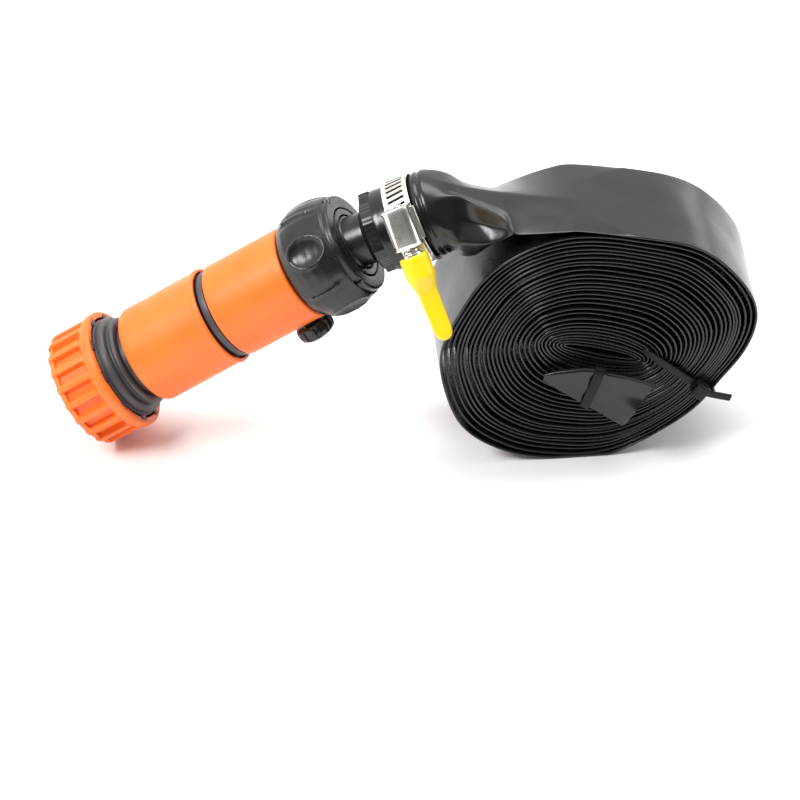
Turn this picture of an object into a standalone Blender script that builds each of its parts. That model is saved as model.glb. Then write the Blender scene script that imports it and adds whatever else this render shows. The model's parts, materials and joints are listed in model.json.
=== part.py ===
"""A rolled layflat soaker hose on its tap fitting, as separate closed pieces.

The roll stands on the flat of its outer turn, and the origin is the centre of that flat: +X runs along the hose
from the tap end to the roll, +Y goes away from the face that shows the hose's end, and +Z is up. The fitting leans
on its tap nut: its pieces are placed in a frame whose Z runs along the fitting from the tap to the hose, whose X
points at the clamp's screw housing, and whose Y points along the clamp's key. Sizes below are in millimetres, and
the makers turn them into metres.
"""

import math

import bmesh
import bpy
from mathutils import Matrix, Vector

MM = 0.001
GAP = 0.3  # air kept between pieces that touch on the real object

# The roll.
HOSE_WIDTH = 40.0  # flat width of 25 mm layflat hose
FLAT_HALF = 10.0  # half of the stretch that rests on the floor
ROLL_OUTLINE = (  # X and Z of the roll's outer turn, from one end of its flat round to the other
    (10.0, 0.0),
    (21.7, 5.3),
    (37.7, 17.2),
    (46.3, 28.6),
    (54.1, 39.6),
    (58.2, 52.0),
    (56.8, 61.3),
    (50.6, 71.7),
    (39.1, 82.6),
    (20.0, 88.7),
    (5.0, 91.6),
    (-7.0, 91.4),
    (-18.7, 87.4),
    (-31.4, 78.3),
    (-42.0, 61.8),
    (-47.9, 46.5),
    (-46.2, 30.0),
    (-39.6, 14.6),
    (-24.0, 3.4),
    (-10.0, 0.0),
)
OUTLINE_STEPS = 3  # points made between two of the outline's

# The fitting's frame: how it leans, how it is turned away from +X, and how its clamp is turned about it.
LEAN = math.radians(34.5)
YAW = math.radians(-8.0)
CLAMP_TURN = math.radians(30.0)
BEND_AT = 111.5  # where the barb adapter bends down, and the direction that its barb then takes
TAIL_LEAN = math.radians(23.5)
TAIL_YAW = math.radians(-3.0)
TAP_END_X = -164.9
TAP_END_Y = 14.0
NUT_END_R = 19.2  # the nut's rim, which touches the floor

# Sections of the hose between the barb and the roll: centre X, Y, Z, half width, half thickness, lean in degrees.
NECK = (
    (-40.0, -0.8, 91.6, 14.9, 10.5, 14.0),
    (-35.0, -1.0, 91.6, 16.8, 7.6, 5.0),
    (-29.5, -1.0, 92.2, 18.2, 4.8, 0.0),
    (-24.0, -0.8, 92.9, 19.2, 2.9, 2.0),
    (-18.0, -0.5, 93.4, 19.8, 1.7, 2.0),
    (-10.0, 0.0, 93.7, 20.0, 1.0, 0.0),
    (-2.0, 0.0, 93.5, 20.0, 0.8, -4.0),
    (9.0, 0.0, 92.1, 20.0, 0.7, -9.0),
    (20.0, 0.0, 89.8, 20.0, 0.5, -14.0),
)

# Stations along the fitting, from the nut's open end.
CUFF_START = 122.6
CUFF_END = 142.0
CUFF_R = 14.0
CUFF_BORE_R = 13.2
BARB_END = 141.0
CLAMP_AT = 132.0
SCREW_OUT = 19.6  # the clamp screw's distance from the fitting's axis
KNOB_AT = 83.0
KNOB_ANGLE = math.radians(105.0)
JAW_AT = 34.2
JAWS = 3
NUT_RIBS = 20
NUT_TABS = 10
FINGER_DIMPLES = 4
DIMPLE_TURN = math.radians(-14.0)

# The tie: where it goes through the hub and where it crosses the rim, as X and Z.
TIE_HUB = (21.7, 42.0)
TIE_RIM = (42.6, 23.7)
TIE_WIDTH = 2.5
TIE_THICK = 1.2
TAIL_TURN = math.radians(21.0)  # how far the cut tail bends down from the strap's line

# The hose's free end, in front of the roll's face: centre X, Y, Z, half width, half thickness.
END_SECTIONS = (
    (-13.5, -22.2, 36.0, 1.2, 0.6),
    (-6.5, -23.5, 34.9, 4.4, 1.5),
    (2.4, -25.2, 32.9, 7.2, 1.5),
    (8.2, -26.0, 30.2, 8.2, 1.6),
    (13.0, -26.4, 27.8, 9.1, 1.9),
    (17.2, -26.8, 25.6, 9.6, 2.3),
)
END_RING_SECTION = 2

ROUND_STEPS = 30
SMALL_STEPS = 16


def clear_scene():
    for thing in list(bpy.data.objects):
        bpy.data.objects.remove(thing, do_unlink=True)


def collection(name):
    made = bpy.data.collections.new(name)
    bpy.context.scene.collection.children.link(made)
    return made


def material(name, colour, roughness, metallic=0.0):
    made = bpy.data.materials.new(name)
    made.use_nodes = True
    shader = made.node_tree.nodes["Principled BSDF"]
    shader.inputs["Base Color"].default_value = (*colour, 1.0)
    shader.inputs["Roughness"].default_value = roughness
    shader.inputs["Metallic"].default_value = metallic
    return made


clear_scene()
PARTS = collection("soaker_hose")
CUTTERS = collection("cutters")
ORANGE = material("orange_plastic", (1.0, 0.23, 0.03), 0.45)
GREY = material("grey_plastic", (0.11, 0.10, 0.105), 0.5)
BLACK = material("black_plastic", (0.025, 0.024, 0.025), 0.35)
HOSE = material("hose_film", (0.01, 0.01, 0.011), 0.22)
RUBBER = material("seal_rubber", (0.02, 0.02, 0.02), 0.7)
STEEL = material("stainless_steel", (0.62, 0.61, 0.58), 0.25, 1.0)
YELLOW = material("yellow_plastic", (1.0, 0.72, 0.02), 0.4)
NYLON = material("tie_nylon", (0.018, 0.018, 0.018), 0.4)


def axis_frame(name, at, across, along, parent=None):
    """An empty at a point, its Z along one direction and its X across it, in its parent's space."""
    z = Vector(along).normalized()
    x = (Vector(across) - Vector(across).dot(z) * z).normalized()
    turn = Matrix((x, z.cross(x), z)).transposed().to_4x4()
    frame = bpy.data.objects.new(name, None)
    frame.empty_display_size = 0.01
    PARTS.objects.link(frame)
    frame.parent = parent
    frame.matrix_local = Matrix.Translation(Vector(at) * MM) @ turn
    return frame


def add(name, mesh, look, frame=None, at=(0, 0, 0), turn=0.0):
    """A sub-part in its frame, moved and turned about the frame's Z."""
    piece = bpy.data.objects.new(name, mesh)
    PARTS.objects.link(piece)
    if look:
        mesh.materials.append(look)
    piece.parent = frame
    piece.matrix_local = Matrix.Rotation(turn, 4, "Z") @ Matrix.Translation(Vector(at) * MM)
    return piece


def smooth(mesh):
    mesh.shade_smooth()
    mesh.set_sharp_from_angle(angle=math.radians(35))


def as_cutter(piece):
    PARTS.objects.unlink(piece)
    CUTTERS.objects.link(piece)
    piece.hide_render = True
    piece.display_type = "WIRE"
    return piece


def shape(piece, other, operation="DIFFERENCE"):
    cut = piece.modifiers.new(operation.lower(), "BOOLEAN")
    cut.operation = operation
    cut.solver = "EXACT"
    cut.object = as_cutter(other)


def turned(name, outer, inner=(), look=None, frame=None, at=(0, 0, 0), steps=ROUND_STEPS):
    """A turned piece: its outer side from top to bottom, then its bore from bottom to top, as radius and height."""
    loop = [Vector((r, 0, z)) * MM for r, z in (*outer, *inner)]
    mesh = bpy.data.meshes.new(name)
    edges = [(i, i + 1) for i in range(len(loop) - 1)]
    if inner:
        edges.append((len(loop) - 1, 0))
    mesh.from_pydata(loop, edges, [])
    piece = add(name, mesh, look, frame, at)
    screw = piece.modifiers.new("turn", "SCREW")
    screw.axis = "Z"
    screw.angle = math.tau
    screw.steps = steps
    screw.render_steps = steps
    screw.use_merge_vertices = True
    screw.merge_threshold = 0.00002
    screw.use_smooth_shade = True
    return piece


def rod(name, radius, low, high, look=None, frame=None, at=(0, 0, 0), steps=SMALL_STEPS):
    return turned(name, ((0, high), (radius, high), (radius, low), (0, low)), (), look, frame, at, steps)


def box_mesh(name, low, high, copies=1):
    """A box between two corners, repeated about Z."""
    body = bmesh.new()
    middle = (Vector(low) + Vector(high)) / 2 * MM
    size = (Vector(high) - Vector(low)) * MM
    for i in range(copies):
        turn = Matrix.Rotation(math.tau * i / copies, 4, "Z")
        place = turn @ Matrix.Translation(middle) @ Matrix.Diagonal((*size, 1.0))
        bmesh.ops.create_cube(body, size=1.0, matrix=place)
    mesh = bpy.data.meshes.new(name)
    body.to_mesh(mesh)
    body.free()
    return mesh


def ring_seal(name, radius, thickness, height, frame, across=6):
    """A seal ring of round section, made as a turned circle."""
    section = [
        (radius + thickness * math.cos(a), height + thickness * math.sin(a))
        for a in (math.pi / 2 - math.tau * i / across for i in range(across))
    ]
    return turned(name, section[:3], section[3:], RUBBER, frame, steps=20)


def lofted(name, rings, look, frame=None):
    """A closed solid through rings that have the same number of points."""
    body = bmesh.new()
    rows = [[body.verts.new(Vector(p) * MM) for p in ring] for ring in rings]
    count = len(rows[0])
    for a, b in zip(rows, rows[1:]):
        for i in range(count):
            j = (i + 1) % count
            body.faces.new((a[i], a[j], b[j], b[i]))
    body.faces.new(rows[0])
    body.faces.new(rows[-1])
    bmesh.ops.recalc_face_normals(body, faces=body.faces)
    mesh = bpy.data.meshes.new(name)
    body.to_mesh(mesh)
    body.free()
    smooth(mesh)
    return add(name, mesh, look, frame)


def oval_ring(centre, side, up, half_width, half_thick, count=20, squareness=2.0):
    """Points of an oval, or of a rounder rectangle where squareness is over 2."""
    ring = []
    power = 2.0 / squareness
    for i in range(count):
        angle = math.tau * i / count
        c, s = math.cos(angle), math.sin(angle)
        across = math.copysign(abs(c) ** power, c) * half_width
        over = math.copysign(abs(s) ** power, s) * half_thick
        ring.append(Vector(centre) + across * Vector(side) + over * Vector(up))
    return ring


def smooth_route(points, steps):
    """Points of a Catmull-Rom curve through the given ones, ends kept."""
    route = []
    for i in range(len(points) - 1):
        a = Vector(points[max(i - 1, 0)])
        b = Vector(points[i])
        c = Vector(points[i + 1])
        d = Vector(points[min(i + 2, len(points) - 1)])
        for k in range(steps):
            t = k / steps
            route.append(
                0.5 * (2 * b + (c - a) * t + (2 * a - 5 * b + 4 * c - d) * t**2 + (3 * b - a - 3 * c + d) * t**3)
            )
    route.append(Vector(points[-1]))
    return route


def flat_piece(name, outlines, half_thick, look, frame):
    """A flat outline with its holes, in its frame's XY plane, given a thickness along Z."""
    curve = bpy.data.curves.new(name, "CURVE")
    curve.dimensions = "2D"
    curve.fill_mode = "BOTH"
    curve.extrude = half_thick * MM
    for outline in outlines:
        spline = curve.splines.new("POLY")
        spline.points.add(len(outline) - 1)
        for point, (x, y) in zip(spline.points, outline):
            point.co = (x * MM, y * MM, 0.0, 1.0)
        spline.use_cyclic_u = True
    guide = bpy.data.objects.new(name + "_outline", curve)
    PARTS.objects.link(guide)
    guide.parent = frame
    bpy.context.view_layer.update()
    graph = bpy.context.evaluated_depsgraph_get()
    mesh = bpy.data.meshes.new_from_object(guide.evaluated_get(graph))
    body = bmesh.new()
    body.from_mesh(mesh)
    bmesh.ops.remove_doubles(body, verts=body.verts, dist=0.000002)
    bmesh.ops.recalc_face_normals(body, faces=body.faces)
    body.to_mesh(mesh)
    body.free()
    mesh.materials.clear()
    bpy.data.objects.remove(guide, do_unlink=True)
    return add(name, mesh, look, frame)


def rounded_box(x0, x1, y0, y1, radius, steps=3):
    """The outline of a rectangle with round corners."""
    corners = ((x1, y1, 0), (x0, y1, 1), (x0, y0, 2), (x1, y0, 3))
    outline = []
    for x, y, quarter in corners:
        cx = x - math.copysign(radius, x - (x0 + x1) / 2)
        cy = y - math.copysign(radius, y - (y0 + y1) / 2)
        for k in range(steps + 1):
            angle = math.pi / 2 * (quarter + k / steps)
            outline.append((cx + radius * math.cos(angle), cy + radius * math.sin(angle)))
    return outline


def cover_outline(reach, half, radius, steps=4):
    """The outline of a box seen from its end, flat at its foot and round at the two corners of its top."""
    outline = [(-reach, half), (-reach, -half)]
    for side, start in ((-1, -90), (1, 0)):
        for k in range(steps + 1):
            angle = math.radians(start + 90 * k / steps)
            x = reach - radius + radius * math.cos(angle)
            outline.append((x, side * (half - radius) + radius * math.sin(angle)))
    return outline


def lie(lean, yaw):
    """An axis's direction from its lean and its yaw, and the clamp's direction across it."""
    along = Vector((math.cos(lean) * math.cos(yaw), math.cos(lean) * math.sin(yaw), math.sin(lean)))
    side = Vector((math.sin(yaw), -math.cos(yaw), 0.0))
    upward = side.cross(along)
    if upward.z < 0:
        upward.negate()
    return along, math.cos(CLAMP_TURN) * side + math.sin(CLAMP_TURN) * upward


def make_frames():
    """The frames of the fitting, its bent tail, the flow knob's spindle and the clamp's screw."""
    along, across = lie(LEAN, YAW)
    at = Vector((TAP_END_X, TAP_END_Y, NUT_END_R * math.cos(LEAN)))
    fitting = axis_frame("fitting_frame", at, across, along)
    tail_along, tail_across = lie(TAIL_LEAN, TAIL_YAW)
    tail = axis_frame("tail_frame", at + (along - tail_along) * BEND_AT, tail_across, tail_along)
    radial = (math.cos(KNOB_ANGLE), math.sin(KNOB_ANGLE), 0.0)
    knob = axis_frame("knob_frame", (0, 0, KNOB_AT), (0, 0, 1), radial, fitting)
    screw = axis_frame("screw_frame", (SCREW_OUT, 0, CLAMP_AT), (1, 0, 0), (0, 1, 0), tail)
    return fitting, tail, knob, screw


FITTING, TAIL, KNOB, SCREW = make_frames()
bpy.context.view_layer.update()


def make_tap_nut():
    outer = (
        (18.6, 17.5),
        (20.4, 17.5),
        (21.0, 16.9),
        (21.0, 14.6),
        (20.4, 14.0),
        (19.9, 14.0),
        (19.9, 1.6),
        (NUT_END_R, 0.0),
    )
    inner = ((16.4, 0.0), (15.6, 0.8), (15.6, 12.2), (13.2, 12.2), (13.2, 14.6), (18.6, 14.6))
    nut = turned("tap_nut", outer, inner, ORANGE, FITTING, steps=40)
    grooves = add("nut_grooves", box_mesh("nut_grooves", (18.7, -1.7, 1.6), (22.0, 1.7, 12.4), NUT_RIBS), None, FITTING)
    shape(nut, grooves)
    notch = box_mesh("nut_notches", (18.0, -2.0, 15.3), (19.9, 2.0, 18.0), NUT_TABS)
    shape(nut, add("nut_notches", notch, None, FITTING))


def make_retaining_ring():
    outer = (
        (13.2, 23.8),
        (15.3, 23.8),
        (15.9, 23.2),
        (15.9, 22.3),
        (14.9, 21.9),
        (14.9, 21.0),
        (16.8, 20.7),
        (17.5, 20.0),
        (17.5, 18.2),
        (17.9, 17.6),
        (17.9, 15.0),
    )
    ring = turned("retaining_ring", outer, ((13.2, 15.0), (13.2, 19.0)), GREY, FITTING)
    tabs = box_mesh("ring_tabs", (17.0, -1.6, 15.7), (19.5, 1.6, 17.8), NUT_TABS)
    shape(ring, add("ring_tabs", tabs, None, FITTING), "UNION")


def make_tap_adapter():
    outer = (
        (6.5, 50.0),
        (9.7, 50.0),
        (10.2, 49.2),
        (10.2, 45.6),
        (8.6, 45.6),
        (8.6, 43.0),
        (10.2, 43.0),
        (10.2, 41.4),
        (11.2, 40.2),
        (11.2, 37.0),
        (9.9, 37.0),
        (9.9, 31.0),
        (12.9, 31.0),
        (12.9, 11.9),
        (14.9, 11.9),
        (14.9, 10.3),
    )
    turned("tap_adapter", outer, ((8.6, 10.3), (6.5, 12.4)), GREY, FITTING, steps=24)
    washer = ((9.4, 10.0), (15.2, 10.0), (15.2, 7.8))
    turned("tap_washer", washer, ((9.4, 7.8),), RUBBER, FITTING)
    ring_seal("spigot_o_ring", 9.75, 0.95, 44.3, FITTING)


def make_release_collar():
    outer = (
        (16.0, 57.5),
        (16.9, 57.5),
        (17.2, 57.1),
        (17.2, 56.0),
        (16.9, 55.6),
        (16.9, 28.8),
        (16.5, 27.2),
        (15.6, 26.3),
        (14.6, 26.0),
    )
    inner = (
        (13.5, 26.0),
        (13.3, 26.4),
        (13.3, 28.0),
        (14.5, 28.8),
        (14.5, 37.6),
        (13.0, 37.6),
        (13.0, 39.6),
        (14.5, 39.6),
        (14.5, 53.9),
        (16.0, 54.3),
    )
    turned("release_collar", outer, inner, ORANGE, FITTING)


def make_coupler_core():
    outer = (
        (12.7, 104.0),
        (13.5, 104.0),
        (13.8, 103.5),
        (13.8, 60.3),
        (15.6, 60.3),
        (15.6, 58.0),
        (14.1, 57.8),
        (14.1, 54.4),
        (12.6, 54.4),
        (12.6, 37.2),
        (13.6, 37.2),
        (13.6, 31.5),
    )
    inner = (
        (11.5, 31.5),
        (11.5, 41.2),
        (11.0, 41.8),
        (11.0, 52.0),
        (8.0, 54.0),
        (8.0, 92.0),
        (10.4, 92.0),
        (10.4, 99.0),
    )
    core = turned("coupler_core", outer, inner, GREY, FITTING)
    window = box_mesh("jaw_windows", (10.6, -3.5, JAW_AT - 2.5), (14.4, 3.5, JAW_AT + 2.5), JAWS)
    shape(core, add("jaw_windows", window, None, FITTING))
    shape(core, rod("core_spindle_hole", 4.4, 5.0, 16.0, None, KNOB))


def make_jaws():
    """Three blocks that hold the spigot's shoulder, each with a wedge-shaped tip."""
    side = 3.1
    low, high = JAW_AT - 2.1, JAW_AT + 2.1
    profile = ((10.6, high), (10.6, high - 1.4), (11.6, low), (13.2, low), (13.2, high))
    for i in range(JAWS):
        rings = [[(r, y, z) for r, z in profile] for y in (-side, side)]
        jaw = lofted(f"locking_jaw_{i + 1}", rings, GREY, FITTING)
        jaw.matrix_local = Matrix.Rotation(math.tau * i / JAWS, 4, "Z")


def make_collar_spring():
    turns, per_turn, radius, low, high = 2.5, 16, 13.55, 40.5, 53.5
    curve = bpy.data.curves.new("collar_spring", "CURVE")
    curve.dimensions = "3D"
    curve.bevel_depth = 0.45 * MM
    curve.bevel_resolution = 2
    curve.use_fill_caps = True
    spline = curve.splines.new("POLY")
    count = int(turns * per_turn) + 1
    spline.points.add(count - 1)
    for i, point in enumerate(spline.points):
        share = i / (count - 1)
        angle = math.tau * turns * share
        height = low + (high - low) * share
        point.co = (radius * math.cos(angle) * MM, radius * math.sin(angle) * MM, height * MM, 1.0)
    spring = bpy.data.objects.new("collar_spring", curve)
    curve.materials.append(STEEL)
    PARTS.objects.link(spring)
    spring.parent = FITTING


def make_coupler_shell():
    outer = ((14.1, 90.4), (16.0, 90.4), (16.4, 89.9), (16.4, 61.2), (15.9, 60.6))
    shell = turned("coupler_shell", outer, ((14.1, 60.6), (14.1, 75.0)), ORANGE, FITTING)
    shape(shell, rod("shell_spindle_hole", 4.4, 12.0, 18.0, None, KNOB))


def make_flow_knob():
    outer = ((0, 22.3), (5.2, 22.3), (6.5, 21.0), (6.5, 17.3), (6.0, 16.8), (3.1, 16.8), (3.1, 20.6), (0, 20.6))
    knob = turned("flow_knob", outer, (), BLACK, KNOB, steps=16)
    flutes = box_mesh("knob_flutes", (6.0, -0.7, 17.8), (8.0, 0.7, 23.0), 8)
    shape(knob, add("knob_flutes", flutes, None, KNOB))
    stem = (
        (0, 20.2),
        (2.7, 20.2),
        (2.7, 16.2),
        (4.0, 16.2),
        (4.0, 12.2),
        (3.2, 12.2),
        (3.2, 10.8),
        (4.0, 10.8),
        (4.0, -6.4),
        (0, -6.4),
    )
    plug = turned("flow_plug", stem, (), GREY, KNOB, steps=16)
    port = rod("plug_port", 2.6, -8.0, 8.0, None, FITTING, at=(0, 0, KNOB_AT), steps=16)
    shape(plug, port)
    ring_seal("knob_o_ring", 3.8, 0.45, 11.5, KNOB)


def make_compression_nut():
    outer = (
        (12.7, 112.0),
        (16.8, 112.0),
        (17.2, 111.6),
        (17.2, 109.9),
        (18.0, 109.3),
        (18.6, 107.2),
        (19.4, 104.2),
        (19.7, 101.2),
        (19.5, 97.2),
        (18.5, 94.2),
        (16.9, 91.5),
        (15.8, 90.9),
    )
    inner = ((14.2, 90.9), (14.2, 105.2), (12.7, 109.0))
    nut = turned("compression_nut", outer, inner, BLACK, FITTING)
    body = bmesh.new()
    for i in range(FINGER_DIMPLES):
        turn = Matrix.Rotation(math.tau * i / FINGER_DIMPLES + DIMPLE_TURN, 4, "Z")
        place = turn @ Matrix.Translation(Vector((22.6, 0, 101.5)) * MM) @ Matrix.Diagonal((0.78, 0.85, 1.2, 1.0))
        bmesh.ops.create_uvsphere(body, u_segments=10, v_segments=6, radius=5.7 * MM, matrix=place)
    mesh = bpy.data.meshes.new("finger_dimples")
    body.to_mesh(mesh)
    body.free()
    shape(nut, add("finger_dimples", mesh, None, FITTING))


def make_grip_collet():
    outer = (
        (10.1, 112.0),
        (12.2, 112.0),
        (12.2, 108.9),
        (13.3, 106.2),
        (13.3, 104.4),
        (12.1, 104.2),
        (10.9, 101.4),
    )
    collet = turned("grip_collet", outer, ((10.1, 101.4), (10.1, 106.0)), BLACK, FITTING, steps=24)
    slit = box_mesh("collet_slit", (-16.0, -0.7, 99.0), (-8.0, 0.7, 114.0))
    shape(collet, add("collet_slit", slit, None, FITTING))


def make_barb_adapter():
    """The adapter: a straight spigot with its seal, then a bend, a collar and three barbs."""
    spigot = (
        (0, BEND_AT),
        (9.7, BEND_AT),
        (9.7, 97.2),
        (8.5, 97.2),
        (8.5, 94.8),
        (9.7, 94.8),
        (9.7, 93.4),
        (9.2, 92.6),
        (0, 92.6),
    )
    barbs = []
    for top in (BARB_END, 136.6, 132.2):
        barbs += [(11.8, top), (12.8, top - 3.6), (12.8, top - 4.2)]
    barb = (
        (0, BARB_END),
        *barbs,
        (11.8, 127.8),
        (11.8, 122.3),
        (12.4, 122.1),
        (12.4, 118.4),
        (8.8, 116.7),
        (8.8, 108.6),
        (0, 108.6),
    )
    adapter = turned("barb_adapter", spigot, (), BLACK, FITTING, steps=24)
    shape(adapter, turned("barb", barb, (), None, TAIL, steps=24), "UNION")
    shape(adapter, rod("spigot_bore", 6.5, 91.0, BEND_AT + 1.0, None, FITTING, steps=20))
    shape(adapter, rod("barb_bore", 6.5, BEND_AT - 1.2, BARB_END + 1.0, None, TAIL, steps=20))
    ring_seal("adapter_o_ring", 9.4, 0.8, 96.0, FITTING)


def make_band_tail(half):
    """The band's free end, which comes out under the housing and follows the band, lifting a little."""
    steps = 10
    inner, outer = [], []
    for i in range(steps + 1):
        share = i / steps
        angle = math.radians(-6.0 + 66.0 * share)
        lift = 1.1 * share**3
        inner.append(((14.7 + lift) * math.cos(angle), (14.7 + lift) * math.sin(angle)))
        outer.append(((15.75 + lift) * math.cos(angle), (15.75 + lift) * math.sin(angle)))
    frame = axis_frame("band_frame", (0, 0, CLAMP_AT), (1, 0, 0), (0, 0, 1), TAIL)
    return flat_piece("band_tail", (inner + outer[::-1],), half, None, frame)


def make_clamp():
    half = 4.5
    band = turned(
        "clamp_band",
        ((14.4, CLAMP_AT + half), (15.1, CLAMP_AT + half), (15.1, CLAMP_AT - half)),
        ((14.4, CLAMP_AT - half),),
        STEEL,
        TAIL,
    )
    shape(band, make_band_tail(half - 0.5), "UNION")
    housing = flat_piece("clamp_housing", (cover_outline(3.5, 4.6, 2.4),), 6.8, STEEL, SCREW)
    shape(housing, rod("screw_bore", 3.0, -9.0, 9.0, None, SCREW))
    worm = ((0, 13.4), (3.3, 13.4), (3.3, 9.0), (2.65, 8.6), (2.65, -7.6), (0, -7.6))
    turned("clamp_screw", worm, (), STEEL, SCREW, steps=12)


def make_thumb_key():
    """The key's ferrule, shoulders and blade, as sections along the screw's axis."""
    sections = (
        (9.6, 4.3, 4.3, 2.0),
        (10.2, 4.8, 4.8, 2.0),
        (17.2, 4.8, 4.8, 2.0),
        (18.4, 4.4, 4.2, 2.2),
        (21.0, 3.7, 2.2, 3.0),
        (23.5, 3.3, 1.4, 5.0),
        (36.0, 3.1, 1.1, 5.0),
        (38.2, 2.4, 1.0, 4.0),
        (39.3, 1.1, 0.7, 3.0),
    )
    rings = [
        oval_ring((0, 0, z), (0, 1, 0), (-1, 0, 0), wide, thick, 14, square) for z, wide, thick, square in sections
    ]
    key = lofted("thumb_key", rings, YELLOW, SCREW)
    shape(key, rod("key_socket", 3.6, 8.0, 13.8, None, SCREW))


def make_hose_lead():
    """The hose from the barb to the roll: a round cuff on the barb, then a neck that flattens onto the roll."""
    basis = TAIL.matrix_world.to_3x3()
    start = TAIL.matrix_world.translation / MM
    along = basis @ Vector((0, 0, 1))
    side = Vector((0, 1, 0)) - along.y * along
    side.normalize()
    rings = []
    for station in (CUFF_START, 132.0, CUFF_END):
        up = side.cross(along)
        rings.append(oval_ring(start + along * station, side, up, CUFF_R, CUFF_R, 24))
    for x, y, z, half_width, half_thick, lean in NECK:
        up = Vector((-math.sin(math.radians(lean)), 0, math.cos(math.radians(lean))))
        rings.append(oval_ring((x, y, z), (0, 1, 0), -up, half_width, half_thick, 24, 2.2))
    lead = lofted("hose_lead", rings, HOSE)
    bore = rod("cuff_bore", CUFF_BORE_R, CUFF_START - 3.0, BARB_END + 0.4, None, TAIL, steps=24)
    shape(lead, bore)


def make_hose_roll():
    """The wound turns, as one solid of their outer shape, with the slot that the tie passes through."""
    frame = axis_frame("roll_frame", (0, 0, 0), (1, 0, 0), (0, -1, 0))
    route = smooth_route([(x, z, 0.0) for x, z in ROLL_OUTLINE], OUTLINE_STEPS)
    outline = [(p.x, max(p.y, 0.0)) for p in route]
    slot = rounded_box(-3.4, 3.0, -3.0, 3.0, 1.2)
    turn = math.atan2(TIE_RIM[1] - TIE_HUB[1], TIE_RIM[0] - TIE_HUB[0])
    c, s = math.cos(turn), math.sin(turn)
    hole = [(TIE_HUB[0] + x * c - y * s, TIE_HUB[1] + x * s + y * c) for x, y in slot]
    roll = flat_piece("hose_roll", (outline, hole), HOSE_WIDTH / 2, HOSE, frame)
    smooth(roll.data)


def make_roll_tie():
    """The nylon tie: a loop through the hub and round the rim, its head on the roll's face, and its cut tail."""
    hub = Vector((TIE_HUB[0], 0, TIE_HUB[1]))
    rim = Vector((TIE_RIM[0], 0, TIE_RIM[1]))
    out = (rim - hub).normalized()
    frame = axis_frame("tie_frame", hub, out, Vector((0, 1, 0)).cross(out) * -1)
    reach = (rim - hub).length + 0.6
    half = HOSE_WIDTH / 2 + GAP
    inside = rounded_box(-0.6, reach, -half, half, 0.5)
    outside = rounded_box(-0.6 - TIE_THICK, reach + TIE_THICK, -half - TIE_THICK, half + TIE_THICK, 1.4)
    tie = flat_piece("roll_tie", (outside, inside), TIE_WIDTH / 2, NYLON, frame)
    front = 1.0 if (frame.matrix_world.to_3x3() @ Vector((0, 1, 0))).y < 0 else -1.0
    face = half * front
    head_low = (20.6, min(face, face + 4.4 * front), -2.6)
    head_high = (25.4, max(face, face + 4.4 * front), 2.6)
    shape(tie, add("tie_head", box_mesh("tie_head", head_low, head_high), None, frame), "UNION")
    tail_mid = face + 3.3 * front
    tail = box_mesh("tie_tail", (-1.5, -0.55, -1.2), (9.5, 0.55, 1.2))
    tail = add("tie_tail", tail, None, frame)
    tail.matrix_local = Matrix.Translation(Vector((24.8, tail_mid, 0)) * MM) @ Matrix.Rotation(TAIL_TURN, 4, "Y")
    shape(tie, tail, "UNION")


def make_hose_end():
    """The hose's free end, which comes out of the hub, is gathered by a ring and flares open."""
    run = (Vector(END_SECTIONS[-1][:3]) - Vector(END_SECTIONS[0][:3])).normalized()
    up = Vector((0, -1, 0)) + run * run.y
    up.normalize()
    across = run.cross(up)
    rings = [oval_ring((x, y, z), across, up, wide, thick, 16) for x, y, z, wide, thick in END_SECTIONS]
    lofted("hose_end", rings, HOSE)
    centre = END_SECTIONS[END_RING_SECTION]
    frame = axis_frame("end_ring_frame", centre[:3], across, run)
    wide, thick = centre[3] + 0.8, centre[4] + 0.7
    inside = rounded_box(-wide, wide, -thick, thick, 1.2)
    outside = rounded_box(-wide - 0.8, wide + 0.8, -thick - 0.8, thick + 0.8, 1.9)
    flat_piece("end_ring", (outside, inside), 1.5, NYLON, frame)


def main():
    make_tap_nut()
    make_retaining_ring()
    make_tap_adapter()
    make_release_collar()
    make_coupler_core()
    make_jaws()
    make_collar_spring()
    make_coupler_shell()
    make_flow_knob()
    make_compression_nut()
    make_grip_collet()
    make_barb_adapter()
    make_clamp()
    make_thumb_key()
    make_hose_lead()
    make_hose_roll()
    make_roll_tie()
    make_hose_end()


main()
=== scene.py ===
"""The looks of a rolled soaker hose on its tap fitting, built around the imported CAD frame."""

import json
import math

import bmesh
import bpy
import numpy as np
from mathutils import Matrix, Vector, noise


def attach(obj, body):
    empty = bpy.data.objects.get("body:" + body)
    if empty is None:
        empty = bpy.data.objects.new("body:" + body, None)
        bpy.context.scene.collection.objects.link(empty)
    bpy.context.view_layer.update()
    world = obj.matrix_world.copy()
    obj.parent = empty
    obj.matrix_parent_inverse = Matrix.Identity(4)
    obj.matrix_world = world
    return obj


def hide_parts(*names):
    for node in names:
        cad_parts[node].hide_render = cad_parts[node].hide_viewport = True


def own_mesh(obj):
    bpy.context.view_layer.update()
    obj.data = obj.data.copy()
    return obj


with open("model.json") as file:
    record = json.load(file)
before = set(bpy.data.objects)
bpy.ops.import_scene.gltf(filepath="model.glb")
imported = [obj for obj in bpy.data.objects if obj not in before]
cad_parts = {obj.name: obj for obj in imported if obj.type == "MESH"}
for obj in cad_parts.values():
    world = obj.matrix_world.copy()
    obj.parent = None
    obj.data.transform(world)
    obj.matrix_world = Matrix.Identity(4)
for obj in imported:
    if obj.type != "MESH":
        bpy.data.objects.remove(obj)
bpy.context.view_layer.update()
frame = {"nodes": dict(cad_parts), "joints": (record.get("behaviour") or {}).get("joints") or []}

MM = 0.001
RNG = np.random.default_rng(7)
JOINTS = {joint["name"]: joint for joint in frame["joints"]}

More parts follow.
